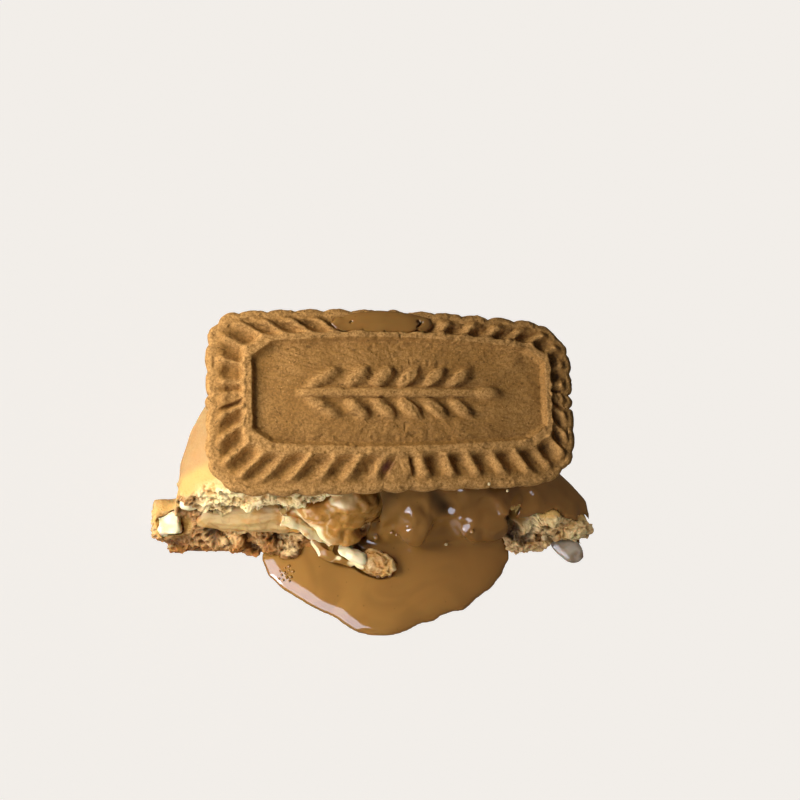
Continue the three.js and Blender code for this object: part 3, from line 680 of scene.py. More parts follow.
class Outline:
    """The scalloped outline and the frame line, round the biscuit from the middle of its back."""

    def __init__(self, half_length, half_width):
        self.half = (half_length, half_width)
        self.long_run = half_length - CORNER
        self.short_run = half_width - CORNER
        self.corner_run = CORNER * math.pi / 2
        self.quarter = self.long_run + self.corner_run + self.short_run
        long_ends = np.linspace(LONG_MIDDLE, self.long_run, LONG_SCALLOPS + 1)
        corner_end = self.long_run + self.corner_run
        corner_ends = np.linspace(self.long_run, corner_end, CORNER_SCALLOPS + 1)[1:]
        short_ends = np.linspace(corner_end, self.quarter - SHORT_MIDDLE, SHORT_SCALLOPS + 1)[1:]
        self.ends = np.concatenate([[0], long_ends, corner_ends, short_ends, [self.quarter]])

    def quarter_place(self, turn):
        """Distance along a quarter for a turn of 0 to 4 quarters, and the quarter's two signs."""
        which = np.floor(turn).astype(int) % 4
        part = turn - np.floor(turn)
        run = self.quarter * np.where(which % 2 == 0, part, 1 - part)
        return run, np.where(which < 2, -1.0, 1.0), np.where((which == 0) | (which == 3), 1.0, -1.0)

    def edge(self, run):
        """Point of the plain rounded rectangle and its normal."""
        angle = np.clip((run - self.long_run) / CORNER, 0, math.pi / 2)
        normal = np.stack([np.sin(angle), np.cos(angle)], axis=1)
        centre = np.stack([
            np.minimum(run, self.long_run),
            self.short_run - np.maximum(0, run - self.long_run - self.corner_run),
        ], axis=1)
        return centre + CORNER * normal, normal

    def frame(self, run):
        """Point of the frame line, a rectangle with cut corners."""
        straight = FRAME_HALF[0] - CHAMFER
        cut = CHAMFER * math.sqrt(2)
        whole = straight + cut + FRAME_HALF[1] - CHAMFER
        run = np.interp(
            run,
            [0, LONG_MIDDLE, self.long_run, self.long_run + self.corner_run,
             self.quarter - SHORT_MIDDLE, self.quarter],
            [0, FRAME_APEX, FRAME_CORNER[0], whole - FRAME_CORNER[1], whole - FRAME_APEX, whole],
        )
        stations = [0, straight, straight + cut, whole]
        x = np.interp(run, stations, [0, straight, FRAME_HALF[0], FRAME_HALF[0]])
        y = np.interp(run, stations, [FRAME_HALF[1], FRAME_HALF[1], FRAME_HALF[1] - CHAMFER, 0])
        bow = FRAME_BOW * (x / FRAME_HALF[0]) ** 2 * smoothstep(FRAME_HALF[0] - x, 0, CHAMFER)
        return np.stack([x, y - bow], axis=1)

    def scallop(self, run):
        """Phase from 0 to 1 within a scallop, and whether it is one of the plain middle ones."""
        index = np.clip(np.searchsorted(self.ends, run, side="right") - 1, 0, len(self.ends) - 2)
        part = (run - self.ends[index]) / (self.ends[index + 1] - self.ends[index])
        first, last = index == 0, index == len(self.ends) - 2
        phase = np.where(first, 0.5 + 0.5 * part, np.where(last, 0.5 * part, part))
        return np.clip(phase, 0, 1), first | last


def section_stations(thickness):
    """Rings from the middle of the underside, over the edge and in to the middle of the panel.

    Each row holds the kind of ring, its inset or its share of the way, and its height.
    """
    under, low_edge, side, top_edge, ribs, step, panel = SECTION_RINGS
    rows = []
    for share in np.linspace(0, 1, under, endpoint=False):
        rows.append((UNDERSIDE, share, -thickness))
    for angle in np.linspace(0, math.pi / 2, low_edge, endpoint=False):
        height = -thickness + LOWER_ROUND * (1 - math.cos(angle))
        rows.append((RIM, UNDER_INSET - LOWER_ROUND * math.sin(angle), height))
    for share in np.linspace(0, 1, side, endpoint=False):
        height = -thickness + LOWER_ROUND + share * (thickness - LOWER_ROUND - UPPER_START)
        rows.append((RIM, SIDE_INSET * (1 - math.sin(share * math.pi / 2)), height))
    for angle in np.linspace(0, math.pi / 2, top_edge, endpoint=False):
        height = -UPPER_START + UPPER_ROUND * math.sin(angle)
        rows.append((RIM, UPPER_ROUND * (1 - math.cos(angle)), height))
    for share in np.linspace(0, 1, ribs, endpoint=False):
        floor = -RIB_START - GROOVE_DEPTH * smoothstep(share, *GROOVE_RUN)
        ridge = smoothstep(share, *RIDGE_RUN) * (FRAME_RISE - floor)
        rows.append((BORDER, share, floor + ridge))
    for share in np.linspace(0, 1, step, endpoint=False):
        height = FRAME_RISE - (PANEL_DEPTH + FRAME_RISE) * smoothstep(share, *STEP_RUN)
        rows.append((PANEL, 1 - STEP_SHARE * share, height))
    for share in np.linspace(0, 1, panel):
        height = -PANEL_DEPTH + PANEL_CROWN * (1 - (1 - share) ** 2)
        rows.append((PANEL, (1 - STEP_SHARE) * (1 - share), height))
    return np.array(rows)


STAIN = (-2, -11.2)  # a purple-brown stain on a rib of the front border
STAIN_RADIUS = 1.2
BISCUIT_CRACKS = ((2.6, -5.6, 0.15), (-21.5, 3.6, -0.5), (9.5, -6.0, 0.1))
EAR_END = 15.2
EAR_PAIRS = 5
GRAIN_SPACING = 4.5
GRAIN_HALF = (2.9, 1.3)
GRAIN_LEAN = 38
GRAIN_OFFSET = 2.6
STALK_HALF = 0.9
TIP_HALF = (3.0, 1.3)
LEAF_PLACE = (-12.6, 2.3)
LEAF_HALF = (3.8, 1.1)
LEAF_LEAN = 30
COVERED = (-2.1, 13.6)  # where the spread lies over the ribs
COVERED_HALF = (9.8, 2.6)


def oval_height(x, y, centre, half, lean):
    """A rounded grain: height from 0 to 1 over an oval, leaning by an angle in degrees."""
    angle = math.radians(lean)
    u = (x - centre[0]) * math.cos(angle) + (y - centre[1]) * math.sin(angle)
    v = (y - centre[1]) * math.cos(angle) - (x - centre[0]) * math.sin(angle)
    inside = np.clip(1 - (u / half[0]) ** 2 - (v / half[1]) ** 2, 0, 1)
    return smoothstep(inside, 0, 0.75)


def ear_of_grain(x, y):
    """Height from 0 to 1 of an ear of grain that lies along the panel."""
    stalk = smoothstep(1 - (y / STALK_HALF) ** 2, 0, 0.8)
    height = 0.9 * stalk * band(x, -17, -16, EAR_END - 3, EAR_END)
    start = EAR_END - EAR_PAIRS * GRAIN_SPACING + 0.6
    ovals = [((EAR_END + 0.8, 0), TIP_HALF, 0)]
    for side in (1, -1):
        ovals.append(((LEAF_PLACE[0], side * LEAF_PLACE[1]), LEAF_HALF, side * LEAF_LEAN))
        for index in range(EAR_PAIRS):
            grain = (start + index * GRAIN_SPACING, side * GRAIN_OFFSET)
            ovals.append((grain, GRAIN_HALF, side * GRAIN_LEAN))
    for centre, half, lean in ovals:
        height = np.maximum(height, oval_height(x, y, centre, half, lean))
    return height


def worn_and_bowed(x, y, half):
    """Places on the biscuit's plan, moved by its taper, bowed sides and worn corners."""
    part = x / half[0]
    worn = WORN * bump(np.hypot(x - half[0], np.abs(y) - half[1]), WORN_REACH)
    front = WORN_FRONT * bump(np.hypot(x + half[0], y + half[1]), WORN_REACH)
    shift = BACK_BOW * np.maximum(0, y / half[1]) * (1 - 2 * part * part)
    shift += front - np.sign(y) * worn
    y = y * (1 - TAPER * part + (BOW / half[1]) * (1 - part * part)) + shift
    return x - worn + front, y


def ridge_tone(kind, value, ribs, motif):
    """Painted light on the relief: 1 on the ridges, frame and motif, painted paler where light
    falls, 0 in the grooves and on the panel, painted darker as shade.
    """
    ribs = ribs + smoothstep(value, 0.74, 0.86)
    tone = np.where(kind == BORDER, np.maximum(ribs, 1 - value * 5), 0)
    tone = np.maximum(tone, np.where(kind == RIM, 0.75, 0))
    on_frame = (kind == PANEL) & (value > 0.985)
    tone = np.maximum(tone, np.where(on_frame, 1, 0.9 * motif ** 0.5))
    return np.clip(tone, 0, 1)


def rolled_biscuit(settings):
    """A sphere's rings laid along the biscuit's section and outline."""
    length, width = settings.length / MM, settings.width / MM
    thickness = settings.thickness / MM
    outline = Outline(length / 2, width / 2)
    rows = section_stations(thickness)
    rings = len(rows) - 1
    bpy.ops.object.select_all(action="DESELECT")
    bpy.ops.mesh.primitive_uv_sphere_add(segments=OUTLINE_SEGMENTS, ring_count=rings, radius=1)
    piece = added("biscuit")
    ball = places(piece) * MM
    polar = np.arccos(np.clip(-ball[:, 2] / np.linalg.norm(ball, axis=1), -1, 1))
    station = rows[np.clip(np.rint(polar / math.pi * rings).astype(int), 0, rings)]
    turn = ((np.degrees(np.arctan2(ball[:, 1], ball[:, 0])) - 90) / 90) % 4
    run, sign_x, sign_y = outline.quarter_place(turn)
    signs = np.stack([sign_x, sign_y], axis=1)
    edge, normal = [part * signs for part in outline.edge(run)]
    centre = np.array(FRAME_CENTRE)
    border = outline.frame(run) * signs
    inner = border * (1 - STEP_WIDTH / np.array(FRAME_HALF))
    phase, plain = outline.scallop(run)
    kind, value, height = station.T
    wobble = np.column_stack([edge, np.zeros(len(run))])
    scallop = SCALLOP_DEPTH * (1 - np.sin(math.pi * phase) ** 0.8)
    scallop *= np.where(plain, 1.5, 0.8 + 0.5 * soft_noise(wobble, 5, 3))
    plain_inset = np.where(kind == UNDERSIDE, UNDER_INSET, UPPER_ROUND)
    inset = np.where(kind == RIM, value, plain_inset) + scallop
    rim = edge - inset[:, None] * normal
    share = value[:, None]
    on_step = np.clip((1 - share) / STEP_SHARE, 0, 1)
    on_panel = np.clip(share / (1 - STEP_SHARE), 0, 1)
    inside = centre + (border * (1 - on_step) + inner * on_step) * on_panel
    across = rim * (1 - share) + (centre + border) * share
    flat = rim
    for part, where in ((BORDER, across), (PANEL, inside), (UNDERSIDE, rim * share)):
        flat = np.where((kind == part)[:, None], where, flat)
    rib = np.sin(math.pi * np.clip(phase + 0.06 * soft_noise(wobble, 2, 5), 0, 1)) ** 3
    rib = np.where(plain, 0.62, rib)
    uneven = 1 + 0.25 * soft_noise(wobble, 4, 6)
    along = band(value, 0.1, 0.38, 0.72, 0.9)
    lift = np.where(kind == BORDER, settings.rib_relief / MM * rib * along * uneven, 0)
    x, y = flat.T
    on_motif = (kind == PANEL) & (value < 1 - STEP_SHARE)
    motif = np.where(on_motif, ear_of_grain(x, y - centre[1]), 0)
    reach = (((flat - COVERED) / COVERED_HALF) ** 2).sum(axis=1)
    covered = 1 - smoothstep(reach, 0.7, 1.15)
    height = height + lift * (1 - covered) + motif * settings.motif_relief / MM
    for crack_x, crack_y, slope in BISCUIT_CRACKS:
        off = y - crack_y - slope * (x - crack_x) - 0.35 * soft_noise(wobble, 0.9, 7)
        height -= 0.35 * bump(off, 0.3) * bump(x - crack_x, 1.7) * (kind == PANEL)
    x, y = worn_and_bowed(x, y, outline.half)
    put(piece, laid_on_cookie(np.stack([x, y, height], axis=1)))
    spot = np.hypot(x - STAIN[0] - 0.5 * (y - STAIN[1]), (y - STAIN[1]) / 1.5)
    stain = bump(spot + 0.3 * soft_noise(wobble, 0.8, 8), STAIN_RADIUS)
    # painted light on the raised relief, painted shade in the grooves and on the panel
    mark(piece, toast=ridge_tone(kind, value, rib * along, motif), stain=stain)
    return piece


def sandy(points):
    """The fine uneven surface of baked dough, with small pits."""
    waves = 0.14 * soft_noise(points, 3.4, 31) + 0.07 * soft_noise(points, 1.3, 32)
    grain = 0.09 * soft_noise(points, 0.55, 33)
    pits = 0.22 * smoothstep(soft_noise(points, 0.8, 34), 0.55, 0.9)
    return waves + grain - pits


# ---- Cookie --------------------------------------------------------------------------------

TORN_TOP_Y = -7.6
TORN_FOOT_Y = -14.2
TORN_HEIGHT = 16
HOLLOW_DEPTH = 3.2  # how far the middle of the torn side is drawn back
SUNK_DEPTH = 1.7  # the same for its right end


def torn_face(x, z):
    """How far forward the torn side is at height z, without its crags."""
    lean = np.clip(z / TORN_HEIGHT, 0, 1) ** 0.8
    hollow = HOLLOW_DEPTH * band(x, -8, 2, 19.5, 26)
    raised = np.maximum(smoothstep(z, 2, 6), smoothstep(x, 28, 31))
    sunk = SUNK_DEPTH * smoothstep(x, 24, 34) * raised
    return TORN_FOOT_Y + (TORN_TOP_Y - TORN_FOOT_Y) * lean + hollow + sunk


def torn_share(points, normals):
    """1 on the torn side, 0 on the crust."""
    x, y, z = points.T
    edge = y - torn_face(x, z) + 0.8 * soft_noise(points, 1.8, 41)
    lobe = smoothstep(x, -33, -39) * smoothstep(y, 0, -5)
    facing = smoothstep(-normals[:, 1] - 0.5 * np.maximum(0, normals[:, 2] - 0.6), -0.1, 0.35)
    facing = np.maximum(facing, (1 - smoothstep(z, 5, 7)) * (x > -33))
    return np.maximum(1 - smoothstep(edge, 1.0, 2.2), lobe) * facing


CAVITIES = (
    (27.2, -9.6, 8.9, 3.0, 3.8), (32, -8.8, 9.4, 2.6, 3.4), (29.4, -8.6, 8.8, 1.6, 1.8),
    (-22.9, -9.3, 11, 1.6, 1.6), (-36.4, -9.6, 6.4, 1.6, 1.2), (-30, -12.6, 3.9, 1.3, 1.4),
    (-24.5, -13, 3.4, 1.2, 1.3), (-18.6, -12.8, 3.6, 1.1, 1.2),
)  # x, y, z, radius and depth of each
CHUNK = (34.9, -10.2, 6.8)  # a glazed chunk under the right shoulder
CHUNK_RADIUS = 2.8
CRUST_CHIP = (-35.3, 6.5, 10.5)
CHIP_RADIUS = 2.6
GLAZE_HEM = 11.0  # how low the glaze reaches
HEM_DROP = 5.4  # how much lower it reaches round the end
HORN_X = 24.6  # where glaze hangs over the torn side
HORN_HALF = 5
HORN_REACH = 4.2  # how far that place is drawn back
STREAK_HEIGHT = 13.4  # of the cream under the torn side's top edge


def ledges(points):
    """Rough layers one above the other: rising to 1 towards each layer's top edge."""
    level = (points[:, 2] + 1.5 * soft_noise(points * (0.45, 0.45, 1), 2.6, 50)) / 2.4
    size = 0.5 + 0.5 * soft_noise(points, 5, 49)
    return size * band(level - np.floor(level), 0, 0.72, 0.86, 1)


def crumbly(points, torn, depth):
    """Relief of torn crumb, how deep in a hollow a place is, and how far it stands out."""
    warped = points + 0.45 * warp_of(points, 1.1, 52)
    clumps = rough_noise(warped * (0.8, 1, 1.2), 2.6, 55, 4)
    pits = packed_grains(warped * (0.7, 1, 1.15), 1.0, 57)
    pores = packed_grains(points, 0.5, 58)
    hollows = rough_noise(warped * (0.6, 1, 1.35), 2.3, 60, 3)
    low = np.maximum(smoothstep(hollows, 0.22, 0.62), 0.5 * smoothstep(pits, 0.6, 0.85))
    fine = rough_noise(warped, 0.6, 65, 2)
    stand = 0.6 * ledges(points) + 0.45 * clumps + 0.35 * fine
    stand -= 0.5 * (pits - 0.45) + 0.4 * (pores - 0.45)
    rough = depth * (stand - 0.9 * low)
    smooth = 0.22 * soft_noise(points, 4.5, 63) + 0.06 * soft_noise(points, 1.1, 64)
    return torn * rough + (1 - torn) * smooth, low * torn, np.clip(0.5 + 0.6 * stand, 0, 1)


def select_faces(piece, chosen):
    """Selects faces by a rule on their vertices, for the edit operators."""
    corners = np.empty(len(piece.data.loops), np.int32)
    piece.data.loops.foreach_get("vertex_index", corners)
    starts = np.empty(len(piece.data.polygons), np.int32)
    piece.data.polygons.foreach_get("loop_start", starts)
    bpy.context.tool_settings.mesh_select_mode = (False, False, True)
    for part in (piece.data.vertices, piece.data.edges):
        part.foreach_set("select", np.zeros(len(part), bool))
    piece.data.polygons.foreach_set("select", np.maximum.reduceat(chosen[corners], starts))


def finer_where(piece, chosen, cuts):
    """Divides the chosen part's faces, so that it can take finer relief."""
    pick(piece)
    select_faces(piece, chosen)
    bpy.ops.object.mode_set(mode="EDIT")
    bpy.ops.mesh.subdivide(number_cuts=cuts)
    bpy.ops.object.mode_set(mode="OBJECT")


def glaze_over(points, torn):
    """1 where glaze covers the right shoulder, and 1 where it hangs over the torn side."""
    x, y, z = points.T
    hem = GLAZE_HEM - HEM_DROP * smoothstep(y, -8, -4) * (1 - torn)
    shoulder = smoothstep(x + soft_noise(points, 2, 73), 27.5, 29.5)
    shoulder *= smoothstep(z + 1.1 * soft_noise(points, 1.7, 74) - hem, -0.6, 0.6)
    chunk = near(points, CHUNK, CHUNK_RADIUS) + 0.15 * soft_noise(points, 1, 66)
    horn = bump(x - HORN_X, HORN_HALF) ** 0.5 * smoothstep(z, 3.6, 5.6) * torn
    glazed = np.maximum(shoulder, smoothstep(chunk, 0.2, 0.4) * torn)
    return np.maximum(glazed, smoothstep(horn, 0.3, 0.6)), horn


def baked_cookie(settings):
    """The cookie with its torn crumb, cavities, browned foot and glazed right shoulder."""
    piece = remeshed("cookie", 0.5, 5)
    finer_where(piece, torn_share(places(piece), directions(piece)) > 0.1, 2)
    points, normals = places(piece), directions(piece)
    x, y, z = points.T
    torn = torn_share(points, normals)
    relief, low, stand = crumbly(points, torn, settings.crag_depth / MM)
    glazed, horn = glaze_over(points, torn)
    relief = relief * (1 - glazed) + (0.8 + 0.3 * soft_noise(points, 2.6, 72)) * glazed
    height = relief * smoothstep(z, 0.05, 0.6) * (1 - 0.8 * horn)
    moved = points + normals * height[:, None]
    moved[:, 1] += HORN_REACH * horn
    for *centre, radius, depth in CAVITIES:
        away = np.linalg.norm((points - centre) * (0.8, 0.6, 1), axis=1)
        hole = bump(away + 0.45 * soft_noise(points, 1.2, 75), radius) * torn
        moved[:, 1] += depth * hole
        low = np.maximum(low, 1.5 * hole)
    put(piece, moved)
    ground(piece)
    to_right = smoothstep(x, 20, 26)
    foot = 1 - smoothstep(z + 1.8 * soft_noise(points, 2.5, 71), 2.2, 6.6)
    lobe = 0.85 * smoothstep(x, -30, -33)
    soaked = 0.12 * smoothstep(x + soft_noise(points, 4, 70), 19, 26)
    browned = (np.maximum(foot * (1 - 0.5 * to_right), lobe) + soaked) * torn
    browned = browned + near(points, CRUST_CHIP, CHIP_RADIUS)
    edge = y - torn_face(x, z) + 1.4 * soft_noise(points, 2.6, 69)
    streak = bump(z - STREAK_HEIGHT - 0.7 * soft_noise(points, 1.7, 67), 1.2)
    streak = 1.3 * streak * band(x, -23, -20, -7, -5) * (0.6 + soft_noise(points, 1.3, 68))
    mark(
        piece, torn=torn, stand=stand, browned=np.clip(browned, 0, 1), glazed=glazed,
        # painted shade: the crumb's hollows and cavities, with more of it towards the shaded right
        # end
        hollow=0.85 * np.clip((low + 0.15 * to_right * torn) * (1 - glazed), 0, 1),
        pale_edge=1 - smoothstep(edge, 2.5, 6), cream=np.clip(streak * torn, 0, 1),
    )
    return piece


def fallen_piece(settings):
    """A bit of cookie in the puddle, its left part coated with caramel and cream."""
    piece = remeshed("fallen_cookie_piece", 0.2, 3)
    points = places(piece)
    x, _, z = points.T
    coated = 1 - smoothstep(x + 1.2 * soft_noise(points, 1.6, 76), -3.4, -1.8)
    bare = 1 - coated
    relief, low, stand = crumbly(points, bare, 0.45 * settings.crag_depth / MM)
    raise_relief(piece, relief + 0.4 * coated * soft_noise(points * (0.6, 1, 1), 1.5, 77))
    swirl = soft_noise(points + 0.7 * warp_of(points, 1.5, 78), 1.7, 79)
    mark(
        piece, torn=bare, stand=0.5 * stand, browned=(1 - smoothstep(z, 1.0, 2.8)) * bare,
        # painted shade in the pits of the bare crumb
        hollow=0.7 * low * bare, glazed=coated, pale_edge=0.0,
        cream=coated * smoothstep(swirl, 0.2, 0.4) * smoothstep(z, 2.2, 3.2),
    )
    return piece


# ---- Filling, cream and chocolate ------------------------------------------------------------


RIBBON_STOPS = ((-17.4, 10.6), (-15, 10.2), (-12.4, 9.2), (-10.2, 7.2), (-8.4, 5))  # x and z


def cream_nearby(points):
    """1 at the cream's winding path over the filling, 0 away from it."""
    flat = points[:, [0, 2]]
    legs = zip(RIBBON_STOPS[:-1], RIBBON_STOPS[1:])
    nearest = np.min([distance_to(flat, start, end) for start, end in legs], axis=0)
    return 1 - smoothstep(nearest + 1.3 * soft_noise(points, 1.8, 81), 0.1, 0.8)


def soft_filling():
    """Dry and layered on the left, wet and folded in the middle."""
    piece = remeshed("filling", 0.3, 4)
    points = places(piece)
    x, _, z = points.T
    pale = 1 - smoothstep(x + 2 * soft_noise(points, 3, 88), -19.5, -15.5)
    bent = points + 1.1 * warp_of(points, 2.6, 83)
    wet = 0.6 * (packed_grains(bent, 2.4, 85) - 0.45)
    wet += 0.5 * soft_noise(bent, 1.9, 86) + 0.12 * soft_noise(bent, 0.7, 80)
    dry = 0.5 * rough_noise(points * (0.3, 0.8, 1.3), 1.7, 87) + 0.3 * soft_noise(points, 4, 89)
    raise_relief(piece, pale * dry + (1 - pale) * wet)
    edge = bump(z - STREAK_HEIGHT - 0.8 * soft_noise(points, 2, 82), 0.6)
    edge *= 0.9 * band(x, -15, -12, -6.5, -3)
    swirl = 0.4 * bump(soft_noise(bent, 2.6, 84), 0.09) * (1 - pale) * smoothstep(-x, 6, 10)
    cream = np.clip(np.maximum(cream_nearby(points), edge) + swirl, 0, 1)
    mark(piece, pale=pale, cream=cream, shade=smoothstep(x, -7, 0))
    return piece


def soft_lump(node, voxel, smoothing, waves, size, seed, thinner=0):
    """A remeshed copy of a small node with soft waves, made thinner all over if wanted."""
    piece = remeshed(node, voxel, smoothing)
    raise_relief(piece, waves * soft_noise(places(piece), size, seed) - thinner)
    return piece


# ---- Spread --------------------------------------------------------------------------------


CREVICES = (
    ((2.5, -6.0, 13.5), (-0.6, -9.2, 9.5), 3.2),
    ((-0.6, -9.2, 9.5), (-1.6, -12.4, 5.5), 2.2),
    ((8.9, -5.6, 13), (12.0, -8.8, 9.8), 2.6),
)  # start, end and half width of each deep fold
PUDDLE_CENTRE = (2, -12)
RIPPLED_SIDE = -0.9  # direction from the centre to the rippled part of the rim, in radians
RIPPLES = 17  # how many there would be all round
SMEAR_SUNK = 0.45


def poured_spread():
    """The flow with soft folds above, and a smooth puddle with a rippled right rim."""
    piece = remeshed("melted_spread", 0.4, 10)
    points, normals = places(piece), directions(piece)
    x, y, z = points.T
    high = smoothstep(z, 2.2, 5) * smoothstep(-normals[:, 1], -0.3, 0.3)
    bent = points + 1.2 * warp_of(points, 3.4, 90)
    folds = 0.6 * soft_noise(bent, 3.2, 91) + 0.22 * soft_noise(bent, 1.6, 92)
    shadowed = np.max([
        bump(distance_to(points, start, end), radius) for start, end, radius in CREVICES
    ], axis=0)
    waves = high * folds + 0.06 * soft_noise(points, 4, 93) - 0.9 * shadowed
    angle = np.arctan2(y - PUDDLE_CENTRE[1], x - PUDDLE_CENTRE[0])
    rim = bump(angle - RIPPLED_SIDE, 0.55) * (1 - smoothstep(z, 1.5, 3))
    ripple = 0.45 * np.cos(RIPPLES * angle) * rim
    raise_relief(piece, waves + ripple * (1 - np.abs(normals[:, 2])))
    ground(piece)
    # darker towards the right, partly for thicker spread and partly as painted shade where less
    # light falls
    mark(piece, deep=smoothstep(x, -14, 26), shadowed=shadowed)
    return piece


def smeared_spread():
    """Sunk a little into the border, so that no gap shows along its edge."""
    piece = remeshed("spread_smear", 0.26, 8)
    sunk = biscuit_matrix().to_3x3() @ Vector((0, 0, -SMEAR_SUNK))
    put(piece, places(piece) + np.array(sunk))
    raise_relief(piece, 0.12 * soft_noise(places(piece), 2.6, 95))
    mark(piece, deep=0.4, shadowed=0.0)
    return piece


# ---- Crumbs and bubbles ----------------------------------------------------------------------


BUBBLE_CLUSTER = (-16.9, -18.8)
CLUSTER_COUNT = 13
GOLDEN_TURN = 2.4  # radians from one bubble or crumb to the next
SINGLE_BUBBLES = (
    (-0.5, -12.5, 0.55), (2.4, -12.3, 0.35), (3.3, -12.9, 0.28), (16.9, -12.7, 0.4),
)  # x, y and radius of each
FOOT_CRUMBS = (0.9, -18.9)  # the middle of the row in front of the fallen piece
FOOT_CRUMB_COUNT = 16
LOOSE_CRUMBS = (
    (19.2, -7.6, 18.6, 0.28, 0.4), (22.4, -8.6, 18.0, 0.24, 0.4), (30.6, -12.6, 4, 0.6, 0.6),
    (26.4, -13.8, 1.1, 0.7, 0.8), (12.4, -13.6, 3.2, 0.26, 0.5), (32.2, -9.6, 7, 0.5, 0.5),
)  # x, y, z, radius and how dark each is


def joined(pieces, name):
    """The pieces as one mesh."""
    bpy.ops.object.select_all(action="DESELECT")
    for piece in pieces:
        piece.select_set(True)
    bpy.context.view_layer.objects.active = pieces[0]
    bpy.ops.object.join()
    bpy.ops.object.transform_apply(location=True, rotation=True, scale=True)
    return added(name)


def small_ball(place, radius, flatness, rough, seed):
    """A small ball, flattened and roughened, at a place in millimetres."""
    bpy.ops.mesh.primitive_ico_sphere_add(subdivisions=3, radius=radius * MM)
    piece = bpy.context.object
    points = places(piece)
    points *= 1 + rough * rough_noise(points / radius + seed, 0.8, seed, 2)[:, None]
    points[:, 2] *= flatness
    put(piece, points + place)
    return piece


def top_at(points, x, y):
    """Height of the surface at a place: the highest of the vertices closest to it."""
    away = np.hypot(points[:, 0] - x, points[:, 1] - y)
    return points[away < away.min() + 0.5, 2].max()


def air_bubbles(surface):
    """Domes of trapped air: a cluster near the puddle's left rim and a few single ones."""
    spots = list(SINGLE_BUBBLES)
    for number in range(CLUSTER_COUNT):
        reach, angle = 0.45 * math.sqrt(number), GOLDEN_TURN * number
        x = BUBBLE_CLUSTER[0] + reach * math.cos(angle)
        y = BUBBLE_CLUSTER[1] + reach * math.sin(angle)
        spots.append((x, y, 0.2 + 0.06 * (number % 3)))
    balls = [
        small_ball((x, y, top_at(surface, x, y) - 0.25 * radius), radius, 0.85, 0.04, index)
        for index, (x, y, radius) in enumerate(spots)
    ]
    piece = joined(balls, "air_bubbles")
    mark(piece, deep=0.0, shadowed=0.0)
    return piece


def loose_crumbs(surface):
    """Crumbs that lie about, the darker ones at the foot of the fallen piece."""
    spots = list(LOOSE_CRUMBS)
    for number in range(FOOT_CRUMB_COUNT):
        along = number / FOOT_CRUMB_COUNT
        x = FOOT_CRUMBS[0] + 2.6 * (along - 0.5)
        y = FOOT_CRUMBS[1] + 0.45 * math.sin(GOLDEN_TURN * number) + 0.3 * along
        radius = 0.24 + 0.07 * (number % 4)
        spots.append((x, y, top_at(surface, x, y) + 0.1, radius, 1))
    balls = [
        small_ball(place, radius, 0.8, 0.45, index)
        for index, (*place, radius, _) in enumerate(spots)
    ]
    dark = np.repeat([spot[-1] for spot in spots], [len(ball.data.vertices) for ball in balls])
    piece = joined(balls, "loose_crumbs")
    mark(piece, dark=dark)
    return piece


def crumb_finish(settings):
    """Bits of crumb, pale to dark brown."""
    finish = Finish("loose_crumb")
    crumb, browned = tuple(settings.crumb_colour), tuple(settings.browned_colour)
    grain = finish.noise(0.3, detail=3)
    base = finish.layered(
        crumb,
        (finish.marked("dark"), tinted(browned, 0.3)),
        (finish.ramp(grain, 0.45, 0.7, 0, 0.6), tinted(browned, 0.9)),
    )
    finish.colour(base).set(Roughness=0.6, Specular_IOR_Level=0.4)
    finish.relief((grain, 0.08))
    return finish.material


# ---- Operators -------------------------------------------------------------------------------


class BakeBiscuit(bpy.types.Operator):
    """Rolls, ribs and bakes the biscuit on top"""

    bl_idname = "stuffed_cookie.bake_biscuit"
    bl_label = "Bake Biscuit"

    def execute(self, context):
        settings = context.scene.cookie_biscuit
        piece = rolled_biscuit(settings)
        raise_relief(piece, sandy(places(piece)))
        finished(piece, ["biscuit"], biscuit_finish(settings))
        return {"FINISHED"}


class BakeCookie(bpy.types.Operator):
    """Bakes the torn cookie and the piece that fell off it"""

    bl_idname = "stuffed_cookie.bake_cookie"
    bl_label = "Bake Cookie"

    def execute(self, context):
        settings = context.scene.cookie_body
        coat = tuple(context.scene.cookie_spread.spread_colour)
        material = cookie_finish(settings, coat, tuple(context.scene.cookie_filling.cream_colour))
        finished(baked_cookie(settings), ["cookie"], material)
        finished(fallen_piece(settings), ["fallen_cookie_piece"], material)
        return {"FINISHED"}


class FillCookie(bpy.types.Operator):
    """Adds the caramel filling and the cream swirled over it"""

    bl_idname = "stuffed_cookie.fill_cookie"
    bl_label = "Fill Cookie"

    def execute(self, context):
        settings = context.scene.cookie_filling
        finished(soft_filling(), ["filling"], caramel_finish(settings))
        shade = tinted(settings.caramel_colour, 1.2)
        cream = creamy_finish("white_cream", tuple(settings.cream_colour), shade)
        ribbon = soft_lump("cream_ribbon", 0.2, 10, 0.55, 1.4, 97, thinner=0.3)
        finished(ribbon, ["cream_ribbon"], cream)
        return {"FINISHED"}


class AddWhiteChocolate(bpy.types.Operator):
    """Adds the chunks of white chocolate"""

    bl_idname = "stuffed_cookie.add_white_chocolate"
    bl_label = "Add White Chocolate"

    def execute(self, context):
        settings = context.scene.cookie_filling
        colour = tuple(settings.chocolate_colour)
        material = creamy_finish("white_chocolate", colour, tinted(colour, 0.86))
        for node in ("white_chocolate_chunk", "white_chocolate_bit", "fallen_white_chocolate"):
            finished(soft_lump(node, 0.2, 8, 0.55, 1.5, 99), [node], material)
        return {"FINISHED"}


